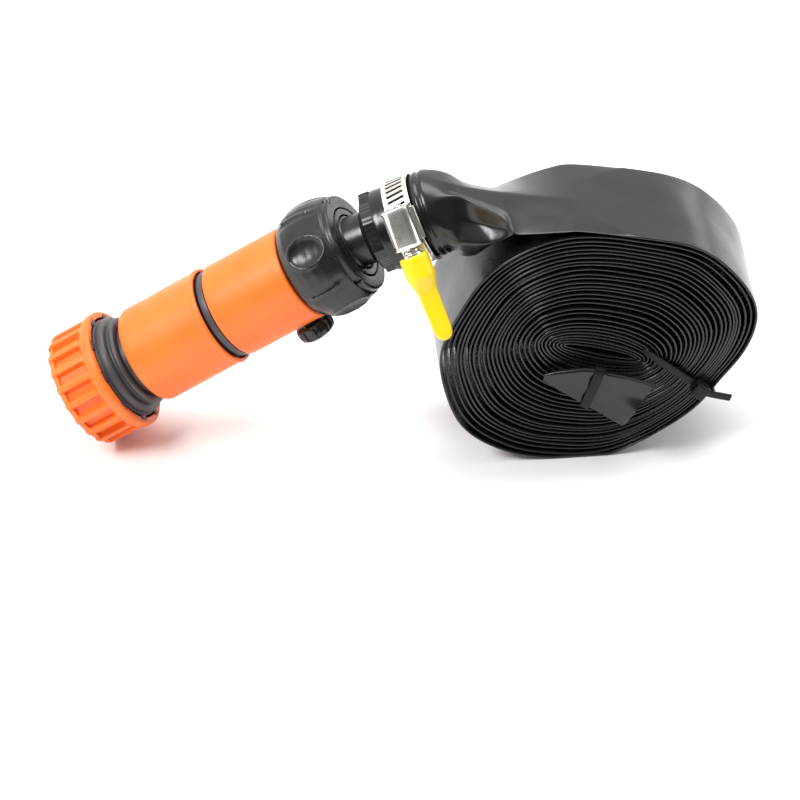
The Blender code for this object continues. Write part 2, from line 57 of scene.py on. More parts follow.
# The fitting's own frame: Z along it from the tap to the hose, X out through its first jaw. Behind the bend in the
# barb adapter its tail has a frame of its own, X out through the clamp's housing and Y along the clamp's key.
ALONG = Vector(JOINTS["adapter_swivel"]["axis"])
ACROSS = Vector(JOINTS["jaw_1_slide"]["axis"])
KEY_WAY = Vector(JOINTS["clamp_key_turn"]["axis"])
KEY_AT = Vector(JOINTS["clamp_key_turn"]["pos_m"])
SWIVEL_STATION = 40.0
BEND_AT = 111.5
CLAMP_AT = 132.0
SCREW_OUT = 19.6


def placed(name, data):
    """A new object in the scene."""
    made = bpy.data.objects.new(name, data)
    bpy.context.scene.collection.objects.link(made)
    return made


def frame_matrix(at, x, y, z):
    made = Matrix((x, y, z)).transposed().to_4x4()
    made.translation = at
    return made


def turned_frame(at, along, across):
    """A frame in the row's space, its Z along one direction and its X across it."""
    z = Vector(along).normalized()
    x = (Vector(across) - Vector(across).dot(z) * z).normalized()
    return frame_matrix(Vector(at), x, z.cross(x), z)


def tail_frame():
    """The tail's frame, from where the clamp's screw lies about the bend."""
    bend = FIT @ Vector((0, 0, BEND_AT * MM))
    reach = KEY_AT - bend
    along = ((CLAMP_AT - BEND_AT) * reach - SCREW_OUT * KEY_WAY.cross(reach)).normalized()
    return frame_matrix(bend - along * BEND_AT * MM, KEY_WAY.cross(along), KEY_WAY, along)


FIT = turned_frame(Vector(JOINTS["adapter_swivel"]["pos_m"]) - ALONG * SWIVEL_STATION * MM, ALONG, ACROSS)
TAIL = tail_frame()
SCREW = turned_frame(KEY_AT, KEY_WAY, TAIL.to_3x3() @ Vector((1, 0, 0)))
KNOB = turned_frame(JOINTS["knob_turn"]["pos_m"], JOINTS["knob_turn"]["axis"], ALONG)


# ---------------------------------------------------------------- camera, light and floor


CAMERA_AZIMUTH = math.radians(-5.7)
CAMERA_ELEVATION = math.radians(36.82)
CAMERA_ROLL = math.radians(-0.23)
CAMERA_AWAY = 2.6
CAMERA_LENS = 347.0
CAMERA_AIM = Vector((-0.058, 0.012, 0.00463))
CAMERA_BACK = Vector((
    math.sin(CAMERA_AZIMUTH) * math.cos(CAMERA_ELEVATION),
    -math.cos(CAMERA_AZIMUTH) * math.cos(CAMERA_ELEVATION),
    math.sin(CAMERA_ELEVATION),
))


def make_camera():
    data = bpy.data.cameras.new("camera")
    data.lens = CAMERA_LENS
    data.sensor_width = 36.0
    data.clip_start = 0.05
    data.clip_end = 20.0
    camera = placed("camera", data)
    camera.location = CAMERA_AIM + CAMERA_BACK * CAMERA_AWAY
    camera.rotation_mode = "QUATERNION"
    turn = Matrix.Rotation(CAMERA_ROLL, 3, CAMERA_BACK)
    camera.rotation_quaternion = turn.to_quaternion() @ (-CAMERA_BACK).to_track_quat("-Z", "Y")
    bpy.context.scene.camera = camera


def make_area(name, at, aim, size, power):
    data = bpy.data.lights.new(name, "AREA")
    data.shape = "RECTANGLE"
    data.size, data.size_y = size
    data.energy = power
    light = placed(name, data)
    light.location = at
    light.rotation_mode = "QUATERNION"
    light.rotation_quaternion = (Vector(aim) - Vector(at)).to_track_quat("-Z", "Y")


def make_light():
    """A white studio that is dim towards the camera and bright above and behind, and four softboxes."""
    world = bpy.data.worlds.new("studio")
    world.use_nodes = True
    tree = world.node_tree
    way = tree.nodes.new("ShaderNodeTexCoord").outputs["Generated"]
    dot = tree.nodes.new("ShaderNodeVectorMath")
    dot.operation = "DOT_PRODUCT"
    dot.inputs[1].default_value = Vector((-0.25, 0.80, 0.55)).normalized()
    tree.links.new(way, dot.inputs[0])
    ramp = tree.nodes.new("ShaderNodeMapRange")
    ramp.interpolation_type = "SMOOTHSTEP"
    for name, value in (("From Min", -0.35), ("From Max", 0.95), ("To Min", 0.13), ("To Max", 1.25)):
        ramp.inputs[name].default_value = value
    tree.links.new(dot.outputs["Value"], ramp.inputs["Value"])
    tree.links.new(ramp.outputs["Result"], tree.nodes["Background"].inputs["Strength"])
    tree.nodes["Background"].inputs["Color"].default_value = (1.0, 1.0, 1.0, 1.0)
    bpy.context.scene.world = world
    make_area("softbox_left", (-0.75, -0.30, 0.85), (-0.03, 0.0, 0.03), (0.45, 0.35), 10.0)
    make_area("softbox_top", (0.15, 0.35, 1.15), (0.0, 0.0, 0.05), (0.9, 0.6), 9.0)
    make_area("softbox_rim", (1.3, 1.8, 0.42), (0.03, 0.0, 0.05), (1.1, 0.5), 2.2)
    make_area("softbox_right", (0.85, 0.05, 0.55), (0.03, 0.0, 0.05), (0.3, 0.5), 3.0)
    bpy.context.scene.view_settings.view_transform = "Standard"


def make_floor():
    body = bmesh.new()
    bmesh.ops.create_grid(body, x_segments=1, y_segments=1, size=3.0)
    mesh = bpy.data.meshes.new("floor")
    body.to_mesh(mesh)
    body.free()
    floor = placed("floor", mesh)
    floor.location.z = -0.0002
    paint = bpy.data.materials.new("floor_paint")
    paint.use_nodes = True
    shader = paint.node_tree.nodes["Principled BSDF"]
    shader.inputs["Base Color"].default_value = (0.95, 0.95, 0.955, 1.0)
    shader.inputs["Roughness"].default_value = 0.9
    shader.inputs["Specular IOR Level"].default_value = 0.1
    mesh.materials.append(paint)


# ---------------------------------------------------------------- materials


class Look:
    """A material whose nodes are laid down one after the other."""

    def __init__(self, name):
        self.material = bpy.data.materials.new(name)
        self.material.use_nodes = True
        self.tree = self.material.node_tree
        self.shader = self.tree.nodes["Principled BSDF"]
        self.place = self.node("ShaderNodeTexCoord").outputs["Object"]
        self.height = None

    def node(self, kind, **values):
        made = self.tree.nodes.new(kind)
        for key, value in values.items():
            if hasattr(made, key):
                setattr(made, key, value)
            else:
                made.inputs[key].default_value = value
        return made

    def link(self, source, target):
        self.tree.links.new(source, target)

    def noise(self, scale, detail=3.0, roughness=0.55, stretch=None):
        made = self.node("ShaderNodeTexNoise")
        made.inputs["Scale"].default_value = scale
        made.inputs["Detail"].default_value = detail
        made.inputs["Roughness"].default_value = roughness
        place = self.place
        if stretch:
            moved = self.node("ShaderNodeMapping")
            moved.inputs["Scale"].default_value = stretch
            self.link(place, moved.inputs["Vector"])
            place = moved.outputs["Vector"]
        self.link(place, made.inputs["Vector"])
        return made.outputs["Fac"]

    def ranged(self, source, low, high, start=0.3, end=0.7):
        made = self.node("ShaderNodeMapRange")
        for name, value in (("From Min", start), ("From Max", end), ("To Min", low), ("To Max", high)):
            made.inputs[name].default_value = value
        self.link(source, made.inputs["Value"])
        return made.outputs["Result"]

    def mix(self, share, first, second):
        made = self.node("ShaderNodeMix", data_type="RGBA")
        self.link(share, made.inputs[0])
        for socket, value in ((made.inputs[6], first), (made.inputs[7], second)):
            if isinstance(value, tuple):
                socket.default_value = (*value, 1.0)
            else:
                self.link(value, socket)
        return made.outputs[2]

    def attribute(self, name):
        return self.node("ShaderNodeAttribute", attribute_name=name).outputs["Fac"]

    def bump(self, source, strength, distance):
        made = self.node("ShaderNodeBump")
        made.inputs["Strength"].default_value = strength
        made.inputs["Distance"].default_value = distance
        self.link(source, made.inputs["Height"])
        if self.height:
            self.link(self.height, made.inputs["Normal"])
        self.height = made.outputs["Normal"]

    def done(self, colour, roughness, **fixed):
        self.link(colour, self.shader.inputs["Base Color"])
        self.link(roughness, self.shader.inputs["Roughness"])
        self.link(self.height, self.shader.inputs["Normal"])
        for name, value in fixed.items():
            self.shader.inputs[name.replace("_", " ")].default_value = value
        return self.material


def moulded_plastic(name, colour, shade, roughness):
    """Injection-moulded plastic: slightly uneven colour, a fine skin and faint scuffs."""
    look = Look(name)
    tone = look.mix(look.ranged(look.noise(55, 4), 0.0, 1.0), colour, shade)
    scuffs = look.ranged(look.noise(420, 5, 0.7), 0.0, 1.0, 0.62, 0.8)
    tone = look.mix(scuffs, tone, tuple(min(1.0, c * 1.12 + 0.01) for c in colour))
    finish = look.ranged(look.noise(160, 4), roughness - 0.06, roughness + 0.08)
    look.bump(look.noise(2600, 2), 0.35, 0.00004)
    look.bump(look.noise(90, 3), 0.25, 0.0002)
    return look.done(tone, finish)


def hose_film():
    """Glossy black polyethylene film, with soft wrinkles, fine draw lines and painted highlights along its folded
    edges.
    """
    look = Look("hose_film")
    tone = look.mix(look.ranged(look.noise(40, 3), 0.0, 1.0), (0.0045, 0.0045, 0.005), (0.0085, 0.0085, 0.009))
    # Painted highlight: a pale grey laid over the film where the fold attribute is high, along folded edges, the ridge
    # and creases
    tone = look.mix(look.attribute("fold_highlight"), tone, (0.042, 0.0415, 0.041))
    dust = look.ranged(look.noise(900, 4, 0.75), 0.0, 1.0, 0.66, 0.9)
    tone = look.mix(dust, tone, (0.03, 0.03, 0.03))
    finish = look.ranged(look.noise(70, 4), 0.17, 0.3)
    look.bump(look.noise(1500, 2), 0.12, 0.00004)
    look.bump(look.noise(240, 3, 0.5, (1.0, 0.25, 1.0)), 0.3, 0.00012)
    look.bump(look.noise(55, 2, 0.5), 0.35, 0.0005)
    return look.done(tone, finish)


def tie_nylon():
    look = Look("tie_nylon")
    tone = look.mix(look.ranged(look.noise(120, 3), 0.0, 1.0), (0.006, 0.006, 0.006), (0.011, 0.011, 0.0115))
    finish = look.ranged(look.noise(300, 3), 0.3, 0.45)
    look.bump(look.noise(1800, 2), 0.3, 0.00003)
    return look.done(tone, finish, Specular_IOR_Level=0.22)


def seal_rubber():
    look = Look("seal_rubber")
    tone = look.mix(look.ranged(look.noise(200, 3), 0.0, 1.0), (0.012, 0.012, 0.012), (0.03, 0.03, 0.03))
    look.bump(look.noise(1400, 3), 0.4, 0.00005)
    return look.done(tone, look.ranged(look.noise(300, 2), 0.6, 0.8))


def bright_steel():
    """Rolled stainless strip, with uneven tone and fine streaks."""
    look = Look("stainless_steel")
    tone = look.mix(look.ranged(look.noise(150, 4), 0.0, 1.0), (0.84, 0.81, 0.76), (0.76, 0.73, 0.68))
    streaks = look.noise(900, 3, 0.6, (1.0, 0.15, 1.0))
    finish = look.ranged(streaks, 0.27, 0.32)
    look.bump(streaks, 0.015, 0.00001)
    return look.done(tone, finish, Metallic=1.0)


make_camera()
LOOKS = {
    "orange_plastic": moulded_plastic("orange_plastic", (0.98, 0.185, 0.018), (0.92, 0.155, 0.012), 0.42),
    "grey_plastic": moulded_plastic("grey_plastic", (0.068, 0.062, 0.065), (0.05, 0.046, 0.049), 0.42),
    "black_plastic": moulded_plastic("black_plastic", (0.0125, 0.0115, 0.0115), (0.008, 0.0075, 0.0075), 0.27),
    "yellow_plastic": moulded_plastic("yellow_plastic", (0.93, 0.69, 0.010), (0.88, 0.60, 0.007), 0.3),
    "hose_film": hose_film(),
    "seal_rubber": seal_rubber(),
    "stainless_steel": bright_steel(),
    "tie_nylon": tie_nylon(),
}


# ---------------------------------------------------------------- makers


def settle(piece, slot, body, nodes=(), crisp=35.0):
    """Gives a new piece its material, shading and body, and hides the CAD nodes that it stands for."""
    mesh = piece.data
    mesh.materials.clear()
    mesh.materials.append(LOOKS[slot])
    mesh.shade_smooth()
    mesh.set_sharp_from_angle(angle=math.radians(crisp))
    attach(piece, body)
    if nodes:
        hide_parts(*nodes)
    return piece


def from_arrays(name, points, faces, place=None, weld=0.0):
    """A piece from arrays of points in millimetres and of faces, with its faces turned outwards."""
    mesh = bpy.data.meshes.new(name)
    mesh.from_pydata((np.asarray(points) * MM).tolist(), [], [list(face) for face in faces])
    body = bmesh.new()
    body.from_mesh(mesh)
    if weld:
        bmesh.ops.remove_doubles(body, verts=body.verts, dist=weld)
        bmesh.ops.dissolve_degenerate(body, edges=body.edges, dist=weld)
    bmesh.ops.recalc_face_normals(body, faces=body.faces)
    body.to_mesh(mesh)
    body.free()
    if place is not None:
        mesh.transform(place)
    return placed(name, mesh)


def quads(rows, columns, close_rows=True, close_columns=True):
    """The quads of a grid of points, joined back to its start in either direction."""
    i = np.arange(rows if close_rows else rows - 1)
    j = np.arange(columns if close_columns else columns - 1)
    i, j = (a.ravel() for a in np.meshgrid(i, j, indexing="ij"))
    up, on = (i + 1) % rows, (j + 1) % columns
    return np.stack([i * columns + j, i * columns + on, up * columns + on, up * columns + j], axis=1)


def rounded(profile, radius, closed, steps=3):
    """A profile with each corner rounded, as far as its sides allow."""
    points = [np.array(p, float) for p in profile]
    count = len(points)
    made = []
    for i, point in enumerate(points):
        if not closed and i in (0, count - 1):
            made.append(point)
            continue
        before, after = points[i - 1] - point, points[(i + 1) % count] - point
        a, b = np.linalg.norm(before), np.linalg.norm(after)
        trim = min(radius, 0.45 * a, 0.45 * b)
        if abs(np.cross(before / a, after / b)) < 0.05:
            made.append(point)
            continue
        start, end = point + before / a * trim, point + after / b * trim
        for k in range(steps + 1):
            t = k / steps
            made.append((1 - t) ** 2 * start + 2 * t * (1 - t) * point + t**2 * end)
    return np.array(made)


def dense(profile, step, closed):
    """A profile with points added so that none of its sides is longer than a step."""
    made = []
    count = len(profile)
    for i in range(count if closed else count - 1):
        a, b = profile[i], profile[(i + 1) % count]
        parts = max(1, int(np.ceil(np.linalg.norm(b - a) / step)))
        made += [a + (b - a) * k / parts for k in range(parts)]
    if not closed:
        made.append(profile[-1])
    return np.array(made)


def lathe(name, profile, slot, body, nodes=(), place=FIT, around=120, corner=0.3, step=None, shape=None, closed=True):
    """A turned piece. shape(angle, radius, height) may move its points, given as arrays, for ribs and dimples."""
    loop = rounded(profile, corner, closed)
    if step:
        loop = dense(loop, step, closed)
    angles = np.asarray(around, float) if np.ndim(around) else np.arange(around) * math.tau / around
    a, r = np.meshgrid(angles, loop[:, 0], indexing="ij")
    z = np.broadcast_to(loop[:, 1], a.shape)
    if shape:
        r, z = shape(a, r, z)
    points = np.stack([r * np.cos(a), r * np.sin(a), z], axis=2).reshape(-1, 3)
    faces = quads(len(angles), len(loop), True, closed)
    piece = from_arrays(name, points, faces, place, 0.0 if closed else 0.000002)
    return settle(piece, slot, body, nodes)


def step_up(x, at, soft):
    """0 before a place and 1 after it, turning smoothly over a short way."""
    t = np.clip((x - at) / soft + 0.5, 0, 1)
    return t * t * (3 - 2 * t)


def window(x, low, high, soft):
    return step_up(x, low, soft) * (1 - step_up(x, high, soft))


def repeat_angle(angle, count, shift=0.0):
    """The angle from the middle of the nearest of several evenly spaced features."""
    pitch = math.tau / count
    return (angle - shift + pitch / 2) % pitch - pitch / 2


def feature_angles(count, edges, base):
    """Angles round a circle, close together at the edges of repeated features."""
    pitch = math.tau / count
    local = list(np.linspace(-0.5, 0.5, base, endpoint=False) * pitch)
    for edge, soft in edges:
        for side in (-1, 1):
            local += [side * edge + soft * k for k in (-0.75, -0.4, 0.0, 0.4, 0.75)]
    local = np.unique(np.round(np.array(local), 5))
    local = local[(local >= -pitch / 2 + 1e-4) & (local < pitch / 2)]
    kept = [local[0]]
    for value in local[1:]:
        if value - kept[-1] > 0.0008:
            kept.append(value)
    return np.sort(np.concatenate([np.array(kept) + i * pitch for i in range(count)]) % math.tau)


def cut(piece, cutters):
    """Cuts boxes or rods out of a piece, and removes them."""
    for cutter in cutters:
        change = piece.modifiers.new("cut", "BOOLEAN")
        change.operation = "DIFFERENCE"
        change.solver = "EXACT"
        change.object = cutter
    bpy.context.view_layer.update()
    graph = bpy.context.evaluated_depsgraph_get()
    mesh = bpy.data.meshes.new_from_object(piece.evaluated_get(graph))
    piece.modifiers.clear()
    piece.data = mesh
    for cutter in cutters:
        bpy.data.objects.remove(cutter, do_unlink=True)
    return piece


def box_piece(name, low, high, place=None, bevel=0.0, segments=3):
    """A box with rounded edges."""
    body = bmesh.new()
    middle, size = (Vector(low) + Vector(high)) / 2 * MM, (Vector(high) - Vector(low)) * MM
    bmesh.ops.create_cube(body, size=1.0, matrix=Matrix.Translation(middle) @ Matrix.Diagonal((*size, 1.0)))
    if bevel:
        bmesh.ops.bevel(
            body, geom=body.edges[:], offset=bevel * MM, segments=segments, profile=0.5, affect="EDGES"
        )
    mesh = bpy.data.meshes.new(name)
    body.to_mesh(mesh)
    body.free()
    if place is not None:
        mesh.transform(place)
    return placed(name, mesh)


def sections(name, rings, place=None):
    """A closed skin through rings of the same number of points, with flat ends."""
    rings = np.asarray(rings, float)
    count, around = rings.shape[:2]
    points = rings.reshape(-1, 3)
    faces = quads(count, around, False, True).tolist()
    faces.append(list(range(around)))
    faces.append(list(range((count - 1) * around, count * around)))
    return from_arrays(name, points, faces, place)


def oval(half_width, half_thick, count, squareness=2.0):
    """Points of an oval in a plane, or of a rounder rectangle where squareness is over 2."""
    angle = np.arange(count) * math.tau / count
    c, s = np.cos(angle), np.sin(angle)
    power = 2.0 / squareness
    return np.stack(
        [np.sign(c) * np.abs(c) ** power * half_width, np.sign(s) * np.abs(s) ** power * half_thick], axis=1
    )


# ---------------------------------------------------------------- the fitting, from the tap to the hose


NUT_RIBS = 20
NUT_TABS = 10


def make_tap_nut():
    """The ribbed tap nut, with its thread, and the notches that hold the ring's tabs."""
    profile = (
        (18.6, 17.5), (20.4, 17.5), (21, 16.9), (21, 14.8), (20.6, 14), (20.2, 13.6), (20.2, 1.6), (19.4, 0),
        (16.9, 0), (16.3, 0.8), (16.3, 12.2), (13.2, 12.2), (13.2, 14.6), (18.6, 14.6),
    )
    groove = 0.092
    notch = 2.0 / 19.0

    def shape(angle, radius, height):
        outer = step_up(radius, 18.9, 0.2)
        between = window(np.abs(repeat_angle(angle, NUT_RIBS)), -1, groove, 0.034)
        deep = window(height, 2.2, 12.6, 0.5)
        open_end = 1 - step_up(height, 13.3, 0.5)
        fall = between * (1.9 * deep + 0.75 * open_end * (1 - deep))
        crown = (repeat_angle(angle, NUT_RIBS, math.pi / NUT_RIBS) / 0.07) ** 2
        rib = 0.35 * np.clip(1 - crown, 0, 1) * window(height, -0.6, 13.2, 1.2)
        new = radius - outer * (fall - rib)
        rim = window(height, 15.2, 30, 0.1) * (1 - step_up(radius, 19.2, 0.2))
        new = new + rim * 1.3 * window(np.abs(repeat_angle(angle, NUT_TABS)), -1, notch, 0.012)
        thread = window(height, 1.2, 11.2, 0.8) * (radius < 16.6) * (radius > 16.0)
        wave = np.abs(((height / 2.31 - angle / math.tau) % 1.0) - 0.5) * 2
        new = new - thread * 0.75 * np.clip(1.25 * wave - 0.1, 0, 1)
        return new, height

    angles = feature_angles(NUT_RIBS, [(groove, 0.034), (notch, 0.012)], 9)
    lathe("tap_nut_body", profile, "orange_plastic", "tap_nut", ["tap_nut"], around=angles, corner=0.4, step=0.42,
          shape=shape)


def make_retaining_ring():
    """The grey stepped ring, with the tabs that lock it in the nut's notches."""
    profile = (
        (13.2, 23.8), (15.2, 23.8), (15.9, 23.2), (15.9, 22.3), (14.9, 21.9), (14.9, 21), (16.8, 20.8), (17.5, 20),
        (17.5, 18.4), (17, 18), (17.9, 17.8), (17.9, 15), (13.2, 15),
    )
    lathe("retaining_ring_body", profile, "grey_plastic", "tap_nut", ["retaining_ring"], corner=0.45)
    tabs = []
    for i in range(NUT_TABS):
        turn = Matrix.Rotation(math.tau * i / NUT_TABS, 4, "Z")
        tabs.append(box_piece("tab", (17.2, -1.45, 15.6), (19.55, 1.45, 17.75), FIT @ turn, 0.3, 2))
    settle(join(tabs, "retaining_ring_tabs"), "grey_plastic", "tap_nut")


def make_tap_adapter():
    profile = (
        (6.5, 50), (9.7, 50), (10.2, 49.2), (10.2, 45.6), (8.6, 45.6), (8.6, 43), (10.2, 43), (10.2, 41.4),
        (11.2, 40.2), (11.2, 37), (9.9, 37), (9.9, 31), (12.9, 31), (12.9, 11.9), (14.9, 11.9), (14.9, 10.3),
        (8.6, 10.3), (6.5, 12.4),
    )
    lathe("tap_adapter_body", profile, "grey_plastic", "tap_adapter", ["tap_adapter"], around=96)
    washer = ((9.4, 10.0), (15.2, 10.0), (15.2, 7.8), (9.4, 7.8))
    lathe("tap_washer_ring", washer, "seal_rubber", "tap_adapter", ["tap_washer"], around=96, corner=0.5)


def make_release_collar():
    """The smooth orange sleeve, with a shallow flat panel near its hose end."""
    profile = (
        (16, 57.5), (16.9, 57.5), (17.25, 57), (17.25, 56), (16.9, 55.5), (16.9, 29), (16.7, 27.4),
        (15.9, 26.4), (14.6, 26), (13.5, 26), (13.3, 26.4), (13.3, 28), (14.5, 28.8), (14.5, 37.6),
        (13, 37.6), (13, 39.6), (14.5, 39.6), (14.5, 53.9), (16, 54.3),
    )

    def shape(angle, radius, height):
        outer = step_up(radius, 16.3, 0.4)
        panel = window(repeat_angle(angle, 1, math.radians(-62)), -0.36, 0.36, 0.06) * window(height, 44.0, 54.6, 0.6)
        return radius - 0.22 * outer * panel, height

    lathe("release_collar_body", profile, "orange_plastic", "release_collar", ["release_collar"], around=160,
          corner=0.45, step=0.9, shape=shape)


def make_coupler():
    """The grey core and the orange shell round it."""
    core = (
        (12.7, 104), (13.5, 104), (13.8, 103.5), (13.8, 60.3), (15.6, 60.3), (15.6, 58), (14.1, 57.8),
        (14.1, 54.4), (12.6, 54.4), (12.6, 37.2), (13.6, 37.2), (13.6, 31.5), (11.5, 31.5), (11.5, 41.2),
        (11, 41.8), (11, 52), (8, 54), (8, 92), (10.4, 92), (10.4, 99),
    )
    piece = lathe("coupler_core_body", core, "grey_plastic", "hose_assembly", ["coupler_core"], around=96, corner=0.25)
    cutters = [rod_piece("core_hole", 4.4, 5.0, 16.0, KNOB)]
    for i in range(3):
        turn = Matrix.Rotation(math.tau * i / 3, 4, "Z")
        cutters.append(box_piece("jaw_window", (10.6, -3.5, 31.7), (14.4, 3.5, 36.7), FIT @ turn))
    cut(piece, cutters)
    settle(piece, "grey_plastic", "hose_assembly")
    shell = ((14.1, 90.4), (15.9, 90.4), (16.4, 89.9), (16.4, 61.3), (15.8, 60.6), (14.1, 60.6))
    piece = lathe("coupler_shell_body", shell, "orange_plastic", "hose_assembly", ["coupler_shell"], around=160,
                  corner=0.4, step=3.0)
    cut(piece, [rod_piece("shell_hole", 4.4, 12.0, 18.0, KNOB)])
    settle(piece, "orange_plastic", "hose_assembly")


def rod_piece(name, radius, low, high, place, around=48):
    angle = np.arange(around) * math.tau / around
    ring = np.stack([radius * np.cos(angle), radius * np.sin(angle)], axis=1)
    rings = [np.column_stack([ring, np.full(around, z)]) for z in (low, high)]
    return sections(name, rings, place)


def make_collar_spring():
    """A coil whose wire keeps its round section."""
    turns, per_turn, radius, low, high, wire = 5, 40, 13.55, 40.6, 53.4, 0.45
    count = turns * per_turn + 1
    share = np.linspace(0, 1, count)
    angle = share * turns * math.tau
    height = low + (high - low) * (share - 0.045 * np.sin(math.tau * share))
    centre = np.stack([radius * np.cos(angle), radius * np.sin(angle), height], axis=1)
    outward = np.stack([np.cos(angle), np.sin(angle), np.zeros(count)], axis=1)
    upward = np.array([0.0, 0.0, 1.0])
    section = np.arange(12) * math.tau / 12
    rings = [
        centre[i] + wire * (np.cos(section)[:, None] * outward[i] + np.sin(section)[:, None] * upward)
        for i in range(count)
    ]
    piece = settle(sections("collar_spring_wire", rings, FIT), "stainless_steel", "hose_assembly", ["collar_spring"])
    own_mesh(piece)


def make_flow_knob():
    profile = (
        (0, 22.3), (4.6, 22.3), (6.1, 21.3), (6.5, 20), (6.5, 17.4), (6, 16.8), (3.1, 16.8), (3.1, 20.6), (0, 20.6),
    )

    def shape(angle, radius, height):
        flute = window(np.abs(repeat_angle(angle, 10)), -1, 0.10, 0.05)
        new = radius - 0.5 * flute * step_up(radius, 5.9, 0.4) * step_up(height, 17.6, 0.5)
        dimple = 0.45 * (1 - step_up(radius, 3.2, 0.6)) * (height > 22.0)
        return new, height - dimple

    lathe("flow_knob_cap", profile, "black_plastic", "flow_knob", ["flow_knob"], KNOB,
          feature_angles(10, [(0.10, 0.05)], 8), 0.3, 0.5, shape, False)
    stem = (
        (0, 20.2), (2.7, 20.2), (2.7, 16.2), (4, 16.2), (4, 12.2), (3.2, 12.2), (3.2, 10.8), (4, 10.8),
        (4, -6.4), (0, -6.4),
    )
    piece = lathe("flow_plug_stem", stem, "grey_plastic", "flow_knob", ["flow_plug"], KNOB, 48, 0.2, None, None, False)
    place = Matrix.Translation(KNOB.translation) @ FIT.to_3x3().to_4x4()
    cut(piece, [rod_piece("plug_port", 2.6, -8.0, 8.0, place)])
    settle(piece, "grey_plastic", "flow_knob")


DIMPLES = 4
NUT_TURN = -14.0  # where one of the nut's dimples lies round the fitting


def make_compression_nut():
    """The black nut, with four finger dimples, raised lines between them and a stepped rim."""
    profile = (
        (12.7, 112), (16.8, 112), (17.2, 111.6), (17.2, 109.9), (17.9, 109.5), (18.6, 107.2), (19.4, 104.2),
        (19.7, 101.2), (19.5, 97.2), (18.6, 94.2), (17.1, 91.7), (15.8, 90.9), (14.2, 90.9), (14.2, 105.2),
        (12.7, 109),
    )
    middle = 101.6
    turn = math.radians(NUT_TURN)

    def shape(angle, radius, height):
        outer = step_up(radius, 15.9, 0.6) * window(height, 91.4, 109.4, 0.6)
        side = repeat_angle(angle, DIMPLES, turn)
        u, v = side * 19.3 / 5.0, (height - middle) / 6.4
        rho = np.sqrt(u * u + v * v)
        hollow = -1.75 * np.clip(1 - rho**2.4, 0, 1)
        rim = 0.28 * np.exp(-(((rho - 1.06) / 0.12) ** 2))
        line = np.abs(repeat_angle(angle, DIMPLES, turn + math.pi / DIMPLES)) * 19.5
        ridge = 0.3 * np.exp(-((line / 0.34) ** 2)) * window(height, 95.2, 105.8, 0.8)
        ends = np.minimum(np.abs(height - 95.6), np.abs(height - 105.4))
        dot = 0.4 * np.exp(-(line**2 + ends**2) / 0.5)
        flat = -0.18 * np.exp(-(((line - 1.6) / 1.0) ** 2)) * window(height, 93.0, 108.0, 2.0)
        notch = -1.1 * window(height, 109.7, 113.0, 0.2) * step_up(radius, 16.2, 0.4)
        notch = notch * window(np.abs(repeat_angle(angle, 3, math.radians(-75))), -1, 0.07, 0.02)
        return radius + outer * (hollow + rim + ridge + dot + flat) + notch, height

    lathe("compression_nut_body", profile, "black_plastic", "compression_nut", ["compression_nut"], around=360,
          corner=0.5, step=0.45, shape=shape)


def make_grip_collet():
    profile = (
        (10.1, 112), (12.2, 112), (12.2, 108.9), (13.3, 106.2), (13.3, 104.4), (12.1, 104.2), (10.9, 101.4),
        (10.1, 101.4),
    )
    piece = lathe("grip_collet_ring", profile, "black_plastic", "grip_collet", ["grip_collet"], around=96, corner=0.25)
    cut(piece, [box_piece("collet_slit", (-16.0, -0.7, 99.0), (-8.0, 0.7, 114.0), FIT)])
    settle(piece, "black_plastic", "grip_collet")


def make_barb_adapter():
    """The adapter: its spigot in the coupler and, behind the bend, a fluted collar and the barbs."""
    spigot = (
        (6.5, 112.3), (9.2, 112.3), (9.7, 111.5), (9.7, 97.2), (8.5, 97.2), (8.5, 94.8), (9.7, 94.8), (9.7, 93.4),
        (9.2, 92.6), (6.5, 92.6),
    )
    lathe("barb_adapter_spigot", spigot, "black_plastic", "hose_assembly", ["barb_adapter"], corner=0.22)
    profile = [(6.5, 141.0)]
    for top in (141.0, 136.6, 132.2):
        profile += [(11.8, top), (12.8, top - 3.6), (12.8, top - 4.2)]
    profile += [
        (11.8, 127.8), (11.8, 123.2), (12.3, 122.9), (12.3, 122.4), (12.4, 122.1), (12.4, 118.4), (11.6, 118),
        (10.2, 117.5), (8.8, 116.7), (8.8, 109.6), (6.5, 109.6),
    ]

    def shape(angle, radius, height):
        zone = window(height, 118.1, 122.3, 0.2) * step_up(radius, 11.4, 0.3)
        hexagon = np.minimum(11.5 / np.cos(repeat_angle(angle, 6)), 12.4) - 12.4
        flute = -0.1 * (0.5 + 0.5 * np.cos(angle * 36))
        lugs = 0.9 * np.exp(-((repeat_angle(angle, 2, math.radians(90)) * 12 / 2.6) ** 4))
        fin = 1.0 * np.exp(-((repeat_angle(angle, 1, math.radians(-90)) * 12 / 0.45) ** 2))
        return radius + zone * (hexagon + flute + lugs + fin), height

    lathe("barb_adapter_body", profile, "black_plastic", "hose_assembly", (), TAIL, 240, 0.22, 0.6, shape)


# ---------------------------------------------------------------- the clamp and its key


BAND_HALF = 4.5
SLOTS = 26
SLOT_START = math.radians(-149.8)
SLOT_PITCH = 0.152


